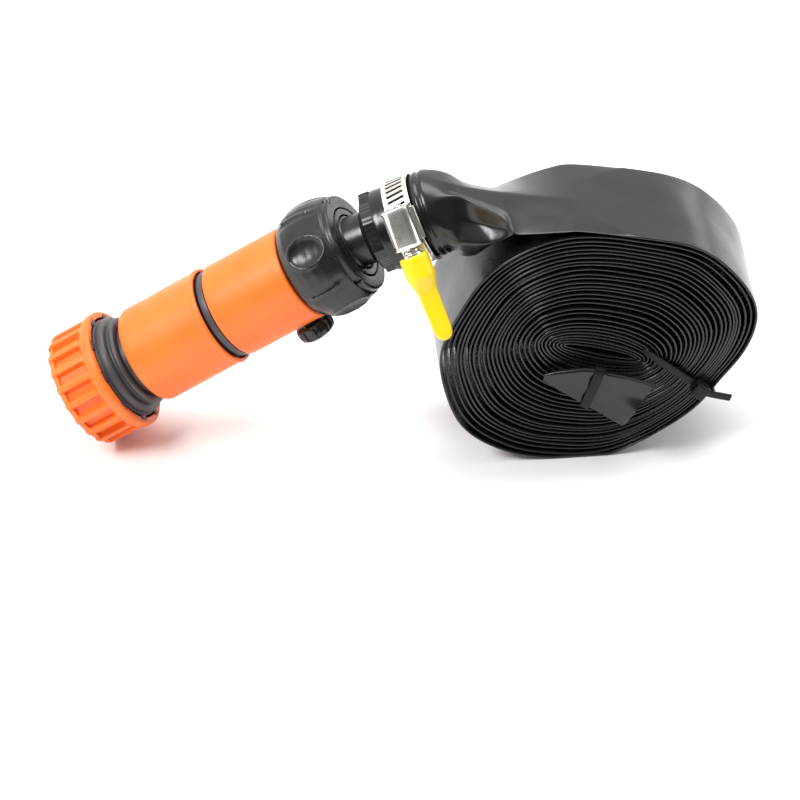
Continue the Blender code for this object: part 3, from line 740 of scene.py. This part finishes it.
def make_clamp():
    """The worm clamp: its slotted band, its housing with the screw in it, and the band's tail."""
    profile = (
        (14.4, CLAMP_AT + BAND_HALF), (15.1, CLAMP_AT + BAND_HALF), (15.1, CLAMP_AT - BAND_HALF),
        (14.4, CLAMP_AT - BAND_HALF),
    )

    def shape(angle, radius, height):
        edge = np.abs(height - CLAMP_AT)
        return radius + 0.22 * step_up(edge, 3.9, 0.7), height

    band = lathe("clamp_band_strip", profile, "stainless_steel", "hose_assembly", (), TAIL, 180, 0.2, 0.6, shape)
    slots = []
    lean = Matrix.Rotation(math.radians(9), 4, "X")
    for i in range(SLOTS):
        turn = Matrix.Rotation(SLOT_START + i * SLOT_PITCH, 4, "Z")
        place = TAIL @ turn @ Matrix.Translation((14.8 * MM, 0, CLAMP_AT * MM)) @ lean
        slots.append(box_piece("slot", (-1.6, -0.5, -2.9), (1.6, 0.5, 2.9), place))
    cut(band, [join(slots, "slots")])
    settle(band, "stainless_steel", "hose_assembly", ["clamp_band"])
    make_band_tail()
    make_housing()


def join(pieces, name):
    """One object out of several."""
    body = bmesh.new()
    for piece in pieces:
        body.from_mesh(piece.data)
    mesh = bpy.data.meshes.new(name)
    body.to_mesh(mesh)
    body.free()
    for piece in pieces:
        bpy.data.objects.remove(piece, do_unlink=True)
    return placed(name, mesh)


def make_band_tail():
    """The band's free end, which comes out from under the housing and lifts off the band."""
    steps = 30
    rings = []
    for i in range(steps + 1):
        share = i / steps
        angle = math.radians(-24.0 + 84.0 * share)
        radius = 15.75 + 1.3 * share**3
        width = 3.9 if share < 0.9 else 3.9 - 1.6 * ((share - 0.9) / 0.1) ** 2
        out = np.array([math.cos(angle), math.sin(angle), 0.0])
        section = oval(0.3, width, 16, 5.0)
        rings.append([out * (radius + a) + np.array([0, 0, CLAMP_AT + b]) for a, b in section])
    piece = sections("clamp_band_tail", rings, TAIL)
    settle(piece, "stainless_steel", "hose_assembly")


def make_housing():
    """The folded cover over the screw, flared at both ends, and the screw in it."""
    stations = (
        (-7, 3.55, 4.9), (-6.7, 3.7, 5), (-6.2, 3.62, 4.8), (-5.6, 3.5, 4.55), (5.6, 3.5, 4.55), (6.1, 3.6, 4.7),
        (6.5, 3.75, 4.95), (6.8, 3.6, 4.8),
    )
    rings = []
    for z, reach, half in stations:
        outline = [(-3.5, half), (-3.5, half * 0.4), (-3.5, -half * 0.4), (-3.5, -half)]
        for side, start in ((-1, -90), (1, 0)):
            for k in range(9):
                angle = math.radians(start + 90 * k / 8)
                x = reach - 2.6 + 2.6 * math.cos(angle)
                outline.append((x, side * (half - 2.6) + 2.6 * math.sin(angle)))
        rings.append([(x, y, z) for x, y in outline])
    housing = sections("clamp_housing_cover", rings, SCREW)
    cut(housing, [rod_piece("screw_bore", 3.05, -9.0, 9.0, SCREW, 48)])
    settle(housing, "stainless_steel", "hose_assembly", ["clamp_housing"])
    for side, name in ((-1, "clamp_foot_near"), (1, "clamp_foot_far")):
        edge = CLAMP_AT + side * 4.3
        foot_low = (15.5, -5.6, min(edge, edge + side * 1.3))
        foot_high = (16.6, 5.6, max(edge, edge + side * 1.3))
        foot = box_piece(name, foot_low, foot_high, TAIL, 0.3, 3)
        settle(foot, "stainless_steel", "hose_assembly")
    worm = [(0, 8.6), (2.65, 8.6), (2.65, -7.6), (0, -7.6)]

    def thread(angle, radius, height):
        wave = (height / 1.5 - angle / math.tau) % 1.0
        depth = 0.55 * np.abs(wave - 0.5) * 2
        return radius - depth * window(height, -7.0, 7.6, 0.6) * (radius > 2.0), height

    lathe("clamp_screw_worm", worm, "stainless_steel", "clamp_key", ["clamp_screw"], SCREW, 60, 0.25, 0.18, thread,
          False)
    collar = ((0, 13.4), (3.3, 13.4), (3.3, 8.75), (0, 8.75))
    lathe("clamp_screw_collar", collar, "stainless_steel", "clamp_key", (), SCREW, 48, 0.3, None, None, False)


def make_thumb_key():
    """The yellow key: a round ferrule with two soft flats, tapered shoulders and a thin blade."""
    table = (
        (9.6, 4.45, 4.3, 2.2), (9.9, 4.75, 4.6, 2.3), (10.6, 4.85, 4.75, 2.5), (17, 4.8, 4.7, 2.5),
        (17.8, 4.6, 4.4, 2.6), (19.2, 4.15, 3.4, 2.8), (20.6, 3.75, 2.4, 3.2), (22, 3.45, 1.75, 4),
        (23.5, 3.3, 1.45, 5), (30, 3.15, 1.2, 5), (35.5, 3.05, 1.05, 5), (37.4, 2.75, 1, 4),
        (38.6, 2.1, 0.85, 3.4), (39.2, 1.2, 0.6, 2.8), (39.4, 0.4, 0.25, 2.2),
    )
    heights = [row[0] for row in table]
    fine = np.unique(np.concatenate([np.linspace(heights[0], heights[-1], 90), heights]))
    rings = []
    for z in fine:
        wide, thick, square = (np.interp(z, heights, [row[k] for row in table]) for k in (1, 2, 3))
        section = oval(wide, thick, 48, square)
        rings.append([(-b, a, z) for a, b in section])
    key = sections("thumb_key_body", rings, SCREW)
    cut(key, [rod_piece("key_socket", 3.6, 8.0, 13.8, SCREW, 32)])
    smooth_mesh(key)
    settle(key, "yellow_plastic", "clamp_key", ["thumb_key"], 50)


def smooth_mesh(piece):
    body = bmesh.new()
    body.from_mesh(piece.data)
    bmesh.ops.smooth_vert(body, verts=body.verts, factor=0.3, use_axis_x=True, use_axis_y=True, use_axis_z=True)
    body.to_mesh(piece.data)
    body.free()


# ---------------------------------------------------------------- the hose


HALF_WIDTH = 20.0
FILM_HALF = 0.42  # half the thickness of the flat hose
TURNS = 22
SAG = 0.95  # how far each turn sags inwards between its folds
HUB_TURNS = 6
HUB_CENTRE = np.array([5.5, 42.6])
HUB_TILT = math.radians(-17.0)
HUB_SIZE = (20.0, 8.6)
ROLL_CENTRE = np.array([5.1, 46.5])
START_ANGLE = math.radians(74.0)


def roll_outline():
    """The outer turn's radius by angle about the roll's centre, from the CAD solid's own edge."""
    corners = np.array([v.co for v in frame["nodes"]["hose_roll"].data.vertices]) / MM
    front = corners[corners[:, 1] < -19.9][:, [0, 2]] - ROLL_CENTRE
    reach = np.hypot(front[:, 0], front[:, 1])
    front, reach = front[reach > 33], reach[reach > 33]
    angle = np.arctan2(front[:, 1], front[:, 0])
    steps = np.arange(-180, 180) * math.pi / 180
    radius = np.interp(steps, angle, reach, period=math.tau)
    weights = np.exp(-((np.arange(-15, 16) / 5.0) ** 2))
    padded = np.concatenate([radius[-15:], radius, radius[:15]])
    return steps, np.convolve(padded, weights / weights.sum(), "valid")


OUTLINE = roll_outline()


def outline_point(angle, inset):
    around = (angle + math.pi) % math.tau - math.pi
    radius = np.interp(around, *OUTLINE, period=math.tau) - inset
    return ROLL_CENTRE + radius * np.array([math.cos(angle), math.sin(angle)])


def soft_noise(*at):
    return noise.noise(Vector(at))


def spacing():
    """How far in each turn lies, as a share of the way from the outline to the hub, unevenly spaced."""
    gaps = RNG.uniform(0.75, 1.3, TURNS)
    gaps[0] = 1.0
    return np.concatenate([[0], np.cumsum(gaps) / gaps.sum()])


DEPTHS = spacing()
RAMPS = [0.2, 0.24, 0.3, 0.38, 0.5, 0.65, 0.85, 1.0]
DUCK = 0.2  # how much of a turn before the lead the hose starts to pass beneath it


def wound(turn):
    """How many turns in the hose lies after so many turns from its outer end."""
    whole = int(turn + DUCK)
    part = turn + DUCK - whole
    if whole < 1:
        return 0.0
    ramp = RAMPS[min(whole - 1, len(RAMPS) - 1)]
    return whole - 1 + min(1.0, part / ramp)


def turn_point(turn):
    """X and Z of the hose's middle after so many clockwise turns from where its lead meets the roll."""
    angle = START_ANGLE - turn * math.tau
    deep = wound(turn)
    outer = outline_point(angle, FILM_HALF + 0.15)
    past = max(0.0, deep - TURNS)
    share = np.interp(min(deep, TURNS), np.arange(TURNS + 1), DEPTHS)
    own = angle - HUB_TILT
    wide = HUB_SIZE[0] - 1.3 * past
    high = HUB_SIZE[1] - 1.32 * past
    local = np.array([wide * math.cos(own), high * math.sin(own)])
    c, s = math.cos(HUB_TILT), math.sin(HUB_TILT)
    hub = HUB_CENTRE + np.array([local[0] * c - local[1] * s, local[0] * s + local[1] * c])
    point = outer * (1 - share) + hub * share
    wave = 0.3 * math.sin(math.pi * min(1.0, share * 1.6)) if past == 0 else 0.12
    stray = wave * soft_noise(2.1 * math.cos(angle), 2.1 * math.sin(angle), deep * 0.45)
    outward = (point - ROLL_CENTRE) / max(1e-6, np.linalg.norm(point - ROLL_CENTRE))
    point = point + outward * stray * 1.6
    return np.array([point[0], max(point[1], FILM_HALF + 0.1)])


LOOP_KEYS = 10
LOOP_STEPS = 9
TAUT = 0.2  # how far the curves between a section's key points bulge, where 0 is straight
CUFF_KEYS = (45, 65, 88, 125, 170, 215, 260, 298, 330, 370)  # the same points' angles round the cuff
FRONT, RIDGE, BACK = 0, 2 * LOOP_STEPS, 4 * LOOP_STEPS


def spun(points, steps, bulge, closed):
    """Points on curves through the given ones, along the first axis of an array."""
    points = np.asarray(points, float)
    count = len(points)
    t = (np.arange(steps) / steps).reshape((-1,) + (1,) * (points.ndim - 1))
    made = []
    for i in range(count if closed else count - 1):
        index = [i - 1, i, i + 1, i + 2]
        index = [k % count for k in index] if closed else [min(max(k, 0), count - 1) for k in index]
        a, b, c, d = points[index]
        m, n = bulge * (c - a), bulge * (d - b)
        made.append(
            (2 * t**3 - 3 * t**2 + 1) * b + (t**3 - 2 * t**2 + t) * m + (3 * t**2 - 2 * t**3) * c + (t**3 - t**2) * n
        )
    if not closed:
        made.append(points[-1:])
    return np.concatenate(made)


def flat_section():
    """A flat tube's section with the same ten key points, as shares of its half width and half thickness."""
    edge = FILM_HALF / HALF_WIDTH
    quarter = np.arange(LOOP_STEPS) / LOOP_STEPS * math.pi / 2
    rise, fall = np.sin(quarter), np.cos(quarter)

    def level(start, end, height):
        across = start + (end - start) * np.arange(LOOP_STEPS) / LOOP_STEPS
        return np.column_stack([across, np.full(LOOP_STEPS, height)])

    return np.concatenate([
        np.column_stack([-1 + edge * (1 - fall), rise]),
        level(-1 + edge, -0.1, 1.0),
        level(-0.1, 1 - edge, 1.0),
        np.column_stack([1 - edge * (1 - rise), fall]),
        np.column_stack([1 - edge * (1 - fall), -rise]),
        level(1 - edge, -0.1, -1.0),
        level(-0.1, -0.6, -1.0),
        level(-0.6, -0.85, -1.0),
        level(-0.85, -1 + edge, -1.0),
        np.column_stack([-1 + edge * (1 - rise), -fall]),
    ])


FLAT_SECTION = flat_section()


def strip_rings(path, widths, middles, ripple):
    """Sections of a flat tube along a path in the XZ plane, its width along Y."""
    path = np.asarray(path)
    tangent = np.gradient(path, axis=0)
    tangent /= np.linalg.norm(tangent, axis=1)[:, None]
    normal = np.stack([-tangent[:, 1], tangent[:, 0]], axis=1)
    rings = []
    for i, point in enumerate(path):
        y = middles[i] + FLAT_SECTION[:, 0] * widths[i]
        out = FLAT_SECTION[:, 1] * FILM_HALF + ripple(i, y)
        rings.append(np.column_stack([point[0] + normal[i, 0] * out, y, point[1] + normal[i, 1] * out]))
    return rings


def paint_fold_highlights(piece, value):
    """Stores how much painted highlight each point of the hose shows, along its folded edges, ridge and creases."""
    attribute = piece.data.attributes.new("fold_highlight", "FLOAT", "POINT")
    attribute.data.foreach_set("value", np.asarray(value, np.float32))


def near(column, width):
    """How near each point of a section is to one of its columns."""
    total = LOOP_KEYS * LOOP_STEPS
    away = np.abs((np.arange(total) - column + total / 2) % total - total / 2)
    return np.exp(-((away / width) ** 2))


LEAD_TURNS = 0.86  # how much of the roll's outer turn belongs to the lead
END_TURNS = 0.8  # how much of a turn follows the hub's last whole one
PER_TURN = 100
LEAD_PER_TURN = 150
EASE_TURNS = 0.4  # over how much of a turn the roll takes on its unevenness, where the lead ends
SHINE_CENTRE = (12.0, 37.0)  # about this point the painted highlight on the turns' folded edges is brightest, at one angle, near the hub
SHINE_ANGLE = -0.75
SHINE_REACH = 27


def make_roll():
    """The rest of the roll, down to the flat loops in its hub."""
    count = int((TURNS + HUB_TURNS + END_TURNS - LEAD_TURNS) * PER_TURN)
    turns = LEAD_TURNS + np.arange(count + 1) / PER_TURN
    path = np.array([turn_point(t) for t in turns])
    ease = np.clip((turns - LEAD_TURNS) / EASE_TURNS, 0, 1)
    middles = [
        e * (0.75 * soft_noise(t * 0.9, 3.3, 0.2) + 0.35 * soft_noise(t * 5.0, 9.1, 1.0)) for t, e in zip(turns, ease)
    ]
    widths = [HALF_WIDTH + e * (0.5 * soft_noise(t * 2.3, 5.5, 7.7) - 0.55) for t, e in zip(turns, ease)]
    sags = [SAG * e * min(1.0, max(0.0, (TURNS + 1.5 - wound(t)) / 3)) for t, e in zip(turns, ease)]

    def sag(i, y):
        return -sags[i] * np.cos(y * math.pi / (2 * HALF_WIDTH + 2))

    piece = sections("hose_wound", strip_rings(path, widths, middles, sag))
    # Painted highlight along each turn's front and back folded edges: a faint, uneven base everywhere, much brighter at
    # one angle near the hub
    around = np.arctan2(path[:, 1] - SHINE_CENTRE[1], path[:, 0] - SHINE_CENTRE[0])
    shine = 0.26 + 0.4 * np.array([soft_noise(t * 6.0, 2.0, 4.4) for t in turns])
    inside = np.hypot(path[:, 0] - 5, path[:, 1] - 42) < SHINE_REACH
    shine += 1.3 * np.exp(-(((around - SHINE_ANGLE) / 0.22) ** 2)) * inside
    fold_highlight = np.outer(shine, np.maximum(near(FRONT, 0.8), near(BACK, 0.8)))
    paint_fold_highlights(piece, fold_highlight.ravel())
    settle(piece, "hose_film", "hose_assembly", ["hose_roll"], 60)


# The neck's key points from the cuff to the roll: its front fold, the top of its front, its ridge, the top of its back,
# its back fold, three below, the lip of the hollow in its front, and the hollow's middle. X, Y, Z in millimetres.
NECK = (
    (
        (-47.2, -8.5, 101.4), (-47, -5, 102.9), (-46.8, -0.5, 103.5), (-46.2, 7, 102), (-43.5, 13.2, 93),
        (-41, 10, 82.5), (-40.2, 0, 78), (-40.4, -9.5, 79.5), (-42.2, -14.8, 87), (-44.5, -14.4, 93.5),
    ),
    (
        (-40.5, -7.5, 101.1), (-41, -4.5, 100.8), (-41.5, -1, 101.7), (-42, 6.5, 100.6), (-41, 13.6, 91.5),
        (-39, 10.5, 82.5), (-38, 0, 79.2), (-38.5, -11, 79.3), (-40, -16.4, 88.6), (-40, -11.6, 94),
    ),
    (
        (-35.5, -10.6, 100), (-36, -6, 99.3), (-36.5, -1, 99.9), (-37, 6.5, 97), (-37, 14.5, 89.5),
        (-36, 10.5, 83.5), (-35.5, 0, 81.2), (-35.5, -12.5, 80.6), (-35.8, -17.2, 88.6), (-35.5, -11.8, 93.2),
    ),
    (
        (-30.5, -14, 98.9), (-31, -8, 98), (-31.5, -1, 98.6), (-31.8, 7.5, 94.2), (-32, 16, 87.2),
        (-31.8, 10.5, 85), (-31.5, 0, 84.6), (-31.8, -13.8, 84.4), (-31.5, -17.8, 88.8), (-30.8, -14.2, 93.2),
    ),
    (
        (-26, -17.2, 97.4), (-26.3, -10, 96.7), (-26.5, -1, 97.4), (-26.8, 8.5, 92.4), (-27, 17.5, 85.8),
        (-27, 10.5, 86.2), (-27, 0, 89.2), (-27.5, -14.6, 89.2), (-27, -18.8, 90.8), (-26.3, -17, 93.8),
    ),
    (
        (-23, -20, 94), (-23, -12, 95.3), (-22.5, -1, 96.6), (-22.5, 9, 92.2), (-22.5, 18.8, 86.6),
        (-22.5, 10, 88.4), (-22.5, 0, 92.4), (-22.8, -14, 91.8), (-23, -18.5, 92.3), (-23, -19.7, 93.2),
    ),
    (
        (-16, -20, 93.3), (-16, -12, 94.3), (-16, -1.5, 95.6), (-16, 9, 92.3), (-16, 19.8, 88.4),
        (-16, 10, 90.6), (-16, -1.5, 93.6), (-16, -13, 92.6), (-16, -18, 92.5), (-16, -19.8, 92.9),
    ),
    (
        (-8, -20, 93.2), (-8, -12, 93.7), (-8, -2, 94.6), (-8, 9, 92.9), (-8, 20, 90.8),
        (-8, 10, 91.7), (-8, -2, 93.2), (-8, -12, 92.7), (-8, -18, 92.5), (-8, -19.8, 92.8),
    ),
    (
        (0, -20, 92.8), (0, -12, 93.3), (0, -2, 93.4), (0, 9, 93), (0, 20, 91.9),
        (0, 10, 92.1), (0, -2, 92.4), (0, -12, 92.4), (0, -18, 92.3), (0, -19.8, 92.5),
    ),
)
CUFF_ROWS = (  # stations and radii: the bore, the rim, the outside and the two rolled rings at the neck's start
    (141.3, 13.2), (132, 13.2), (123.2, 13.2), (122.7, 13.3), (122.6, 13.6), (122.7, 13.95), (123.2, 14.05),
    (124.5, 14), (127, 13.95), (132, 13.95), (136.9, 13.95), (137.5, 14.2), (138.1, 14.55), (138.8, 14.6),
    (139.3, 14.15), (139.8, 14.1), (140.4, 14.55), (141.2, 14.6), (142, 14.3),
)


def make_lead():
    """The hose from the cuff, over the creased neck, onto the roll and most of the way round it."""
    along = TAIL.to_3x3() @ Vector((0, 0, 1))
    origin = np.array(TAIL.translation) / MM
    side = (Vector((0, 1, 0)) - along.y * along).normalized()
    up = along.cross(side)
    if up.z < 0:
        up.negate()
    along, side, up = np.array(along), np.array(side), np.array(up)
    turn = np.radians(spun(np.append(CUFF_KEYS, CUFF_KEYS[0] + 360), LOOP_STEPS, 0.5, False)[:-1])
    ring = np.outer(-np.cos(turn), side) + np.outer(np.sin(turn), up)
    rings = [origin + along * station + ring * radius for station, radius in CUFF_ROWS]
    turns = np.arange(0.0, LEAD_TURNS + 0.001, 1 / LEAD_PER_TURN)
    turns[-1] = LEAD_TURNS
    path = np.array([turn_point(t) for t in turns])
    steps = turns / LEAD_TURNS

    def ripple(i, y):
        fade = min(1.0, steps[i] * 12) * min(1.0, (1 - steps[i]) * 12)
        around = turns[i] * 11.0
        return fade * np.array([0.75 * soft_noise(around, v / 26.0, 3.0) for v in y])

    flat = strip_rings(path, [HALF_WIDTH] * len(path), [0.0] * len(path), ripple)
    cage = [rings[-3], rings[-1]] + [spun(keys, LOOP_STEPS, TAUT, True) for keys in NECK] + [flat[0], flat[2]]
    neck = spun(np.array(cage), 8, 0.5, False)
    rings = np.array(rings[:-3] + list(neck[:-9]) + flat)
    piece = sections("hose_lead_out", rings)
    count = len(rings)
    # Painted highlights: along the front and back folded edges past the neck's start, and a fainter one along the ridge
    # where the lead runs onto the roll
    share = np.clip((np.arange(count) - 24) / 20, 0, 1)
    lead_highlights = np.outer(share, np.maximum(near(FRONT, 0.8), near(BACK, 0.8))) * 0.75
    onto = np.clip((np.arange(count) - 20) / 10, 0, 1) * np.clip((95 - np.arange(count)) / 20, 0, 1)
    lead_highlights = np.maximum(lead_highlights, 0.3 * np.outer(onto, near(RIDGE, 0.9)))
    paint_fold_highlights(piece, lead_highlights.ravel())
    settle(piece, "hose_film", "hose_assembly", ["hose_lead"], 50)


# ---------------------------------------------------------------- the hose's free end and the tie


END_ROUTE = (  # the free end's middle, its half width and its half thickness, from the hub to its open mouth
    (-13.5, -22.2, 36, 1.2, 0.6), (-10.5, -22.7, 35.6, 2.8, 1), (-6.5, -23.5, 34.9, 4.6, 1.3),
    (-1, -24.6, 33.9, 6.6, 1.3), (2.4, -25.2, 32.9, 7.2, 1.25), (5, -25.6, 31.7, 7.5, 1.3),
    (8.2, -26, 30.2, 8.2, 1.5), (13, -26.4, 27.8, 9.2, 1.6), (17.4, -26.8, 25.5, 9.8, 1.9),
)


def end_frames(route):
    """Middles, directions across and directions out of the free end's flat, along its route."""
    middles = route[:, :3]
    run = np.gradient(middles, axis=0)
    run /= np.linalg.norm(run, axis=1)[:, None]
    toward = np.array([0.0, -1.0, 0.0])
    out = toward - run * (run @ toward)[:, None]
    out /= np.linalg.norm(out, axis=1)[:, None]
    return middles, np.cross(run, out), out, run


def make_hose_end():
    """The free end: the film folded in half, gathered by a sleeve, with an open, wavy mouth."""
    route = spun(END_ROUTE, 8, 0.5, False)
    middles, across, out, run = end_frames(route)
    around = 96
    angle = np.arange(around) * math.tau / around
    flat = np.cos(angle)
    rings = []
    total = len(route)
    for i in range(total):
        u = i / (total - 1)
        wide, thick = route[i, 3], route[i, 4]
        pleat = 0.28 * np.sin(flat * 6 + 2.0 * u) * math.exp(-(((u - 0.5) / 0.16) ** 2))
        wave = 0.9 * np.sin(flat * 4.4 + 0.6) * (max(0.0, u - 0.58) / 0.42) ** 1.3
        bow = 0.5 * soft_noise(u * 4, 1.0, 5.0)
        face = np.sign(np.sin(angle)) * np.abs(np.sin(angle)) ** 0.55 * thick + pleat + wave + bow
        slant = 0.9 * flat * max(0.0, u - 0.8) / 0.2
        rings.append(
            middles[i] + np.outer(flat * wide, across[i]) + np.outer(face, out[i]) + np.outer(slant, -run[i])
        )
    mouth = rings[-1]
    middle = mouth.mean(axis=0)
    for inset, back in ((0.955, 0.1), (0.93, 1.2), (0.86, 4.0)):
        shallow = 0.75 if back < 1 else 0.5
        spread = (mouth - middle) @ across[-1]
        depth = (mouth - middle) @ out[-1]
        rings.append(
            middle + np.outer(spread * inset, across[-1]) + np.outer(depth * shallow, out[-1]) - run[-1] * back
        )
    piece = sections("hose_free_end", rings)
    # Pale lines along the two folded edges and the pleats are painted highlight; they and a faint paleness all over
    # grow from the hub end towards the mouth
    crease_highlight = np.exp(-(((np.abs(flat) - 1) / 0.02) ** 2)) + 0.22 * np.exp(-((np.sin(flat * 7 + 0.6) / 0.12) ** 2))
    share = np.linspace(0, 1, len(rings))
    paint_fold_highlights(piece, np.outer(0.25 + 0.75 * share, 0.03 + crease_highlight).ravel())
    settle(piece, "hose_film", "hose_assembly", ["hose_end"], 60)
    at = int(0.5 * (total - 1))
    loop = oval(8.0, 2.15, 64, 3.0)
    bands = []
    for lift, shift in ((0.0, -1.55), (0.38, -1.6), (0.42, 0.0), (0.38, 1.6), (0.0, 1.55), (-0.05, 0.0)):
        reach = loop * (1 + lift / np.linalg.norm(loop, axis=1)[:, None])
        bands.append(
            middles[at] + np.outer(reach[:, 0], across[at]) + np.outer(reach[:, 1], out[at]) + run[at] * shift
        )
    points = np.stack(bands, axis=1).reshape(-1, 3)
    sleeve = from_arrays("end_ring_sleeve", points, quads(64, len(bands)))
    settle(sleeve, "tie_nylon", "hose_assembly", ["end_ring"])


TIE_HUB = Vector((21.7, 0.0, 42.0))
TIE_RIM = Vector((42.6, 0.0, 23.7))
TAIL_TURN = math.radians(21.0)


def make_tie():
    """The nylon tie: its strap through the hub and round the rim, its head on the roll's face and its cut tail."""
    out = (TIE_RIM - TIE_HUB).normalized()
    place = frame_matrix(TIE_HUB * MM, out, Vector((0, -1, 0)), out.cross(Vector((0, -1, 0))))
    low, high, half = -1.2, (TIE_RIM - TIE_HUB).length + 1.2, 20.9
    corners = [(low, -half), (high, -half), (high, half), (low, half)]
    line = dense(rounded(corners, 1.6, True, 6), 1.0, True)
    before, after = np.roll(line, 1, axis=0), np.roll(line, -1, axis=0)
    ahead = (after - before) / np.linalg.norm(after - before, axis=1)[:, None]
    outward = np.stack([ahead[:, 1], -ahead[:, 0]], axis=1)
    section = oval(0.5, 1.25, 16, 5.0)
    rings = [[(p[0] + o[0] * a, p[1] + o[1] * a, b) for a, b in section] for p, o in zip(line, outward)]
    points = np.array(rings).reshape(-1, 3)
    strap = from_arrays("tie_strap", points, quads(len(rings), len(section)), place)
    settle(strap, "tie_nylon", "hose_assembly", ["roll_tie"])
    head = box_piece("tie_head", (20.4, 20.45, -2.6), (25.6, 24.6, 2.6), place, 0.75, 4)
    cut(head, [box_piece("tie_window", (19.0, 22.3, -1.45), (27.0, 23.9, 1.45), place)])
    settle(head, "tie_nylon", "hose_assembly")
    turn = Matrix.Translation(Vector((24.0, 23.1, 0)) * MM) @ Matrix.Rotation(TAIL_TURN, 4, "Y")
    lengths = np.arange(-3.0, 10.3, 0.2)
    rings = []
    for x in lengths:
        tooth = 0.14 * (((x / 0.8) % 1.0) > 0.45) * (x < 9.6)
        edge = oval(1.2, 0.45 + tooth, 16, 5.0)
        rings.append([(x, b - 0.004 * (x + 3) ** 2, a) for a, b in edge])
    tail = sections("tie_tail", rings, place @ turn)
    settle(tail, "tie_nylon", "hose_assembly")


def dress_cad_nodes():
    """Small inner pieces that keep their CAD shape get their materials."""
    for node, slot in (
        ("spigot_o_ring", "seal_rubber"), ("knob_o_ring", "seal_rubber"), ("adapter_o_ring", "seal_rubber"),
        ("locking_jaw_1", "grey_plastic"), ("locking_jaw_2", "grey_plastic"), ("locking_jaw_3", "grey_plastic"),
    ):
        mesh = frame["nodes"][node].data
        mesh.materials.clear()
        mesh.materials.append(LOOKS[slot])


make_light()
make_floor()
make_tap_nut()
make_retaining_ring()
make_tap_adapter()
make_release_collar()
make_coupler()
make_collar_spring()
make_flow_knob()
make_compression_nut()
make_grip_collet()
make_barb_adapter()
make_clamp()
make_thumb_key()
make_roll()
make_lead()
make_hose_end()
make_tie()
dress_cad_nodes()
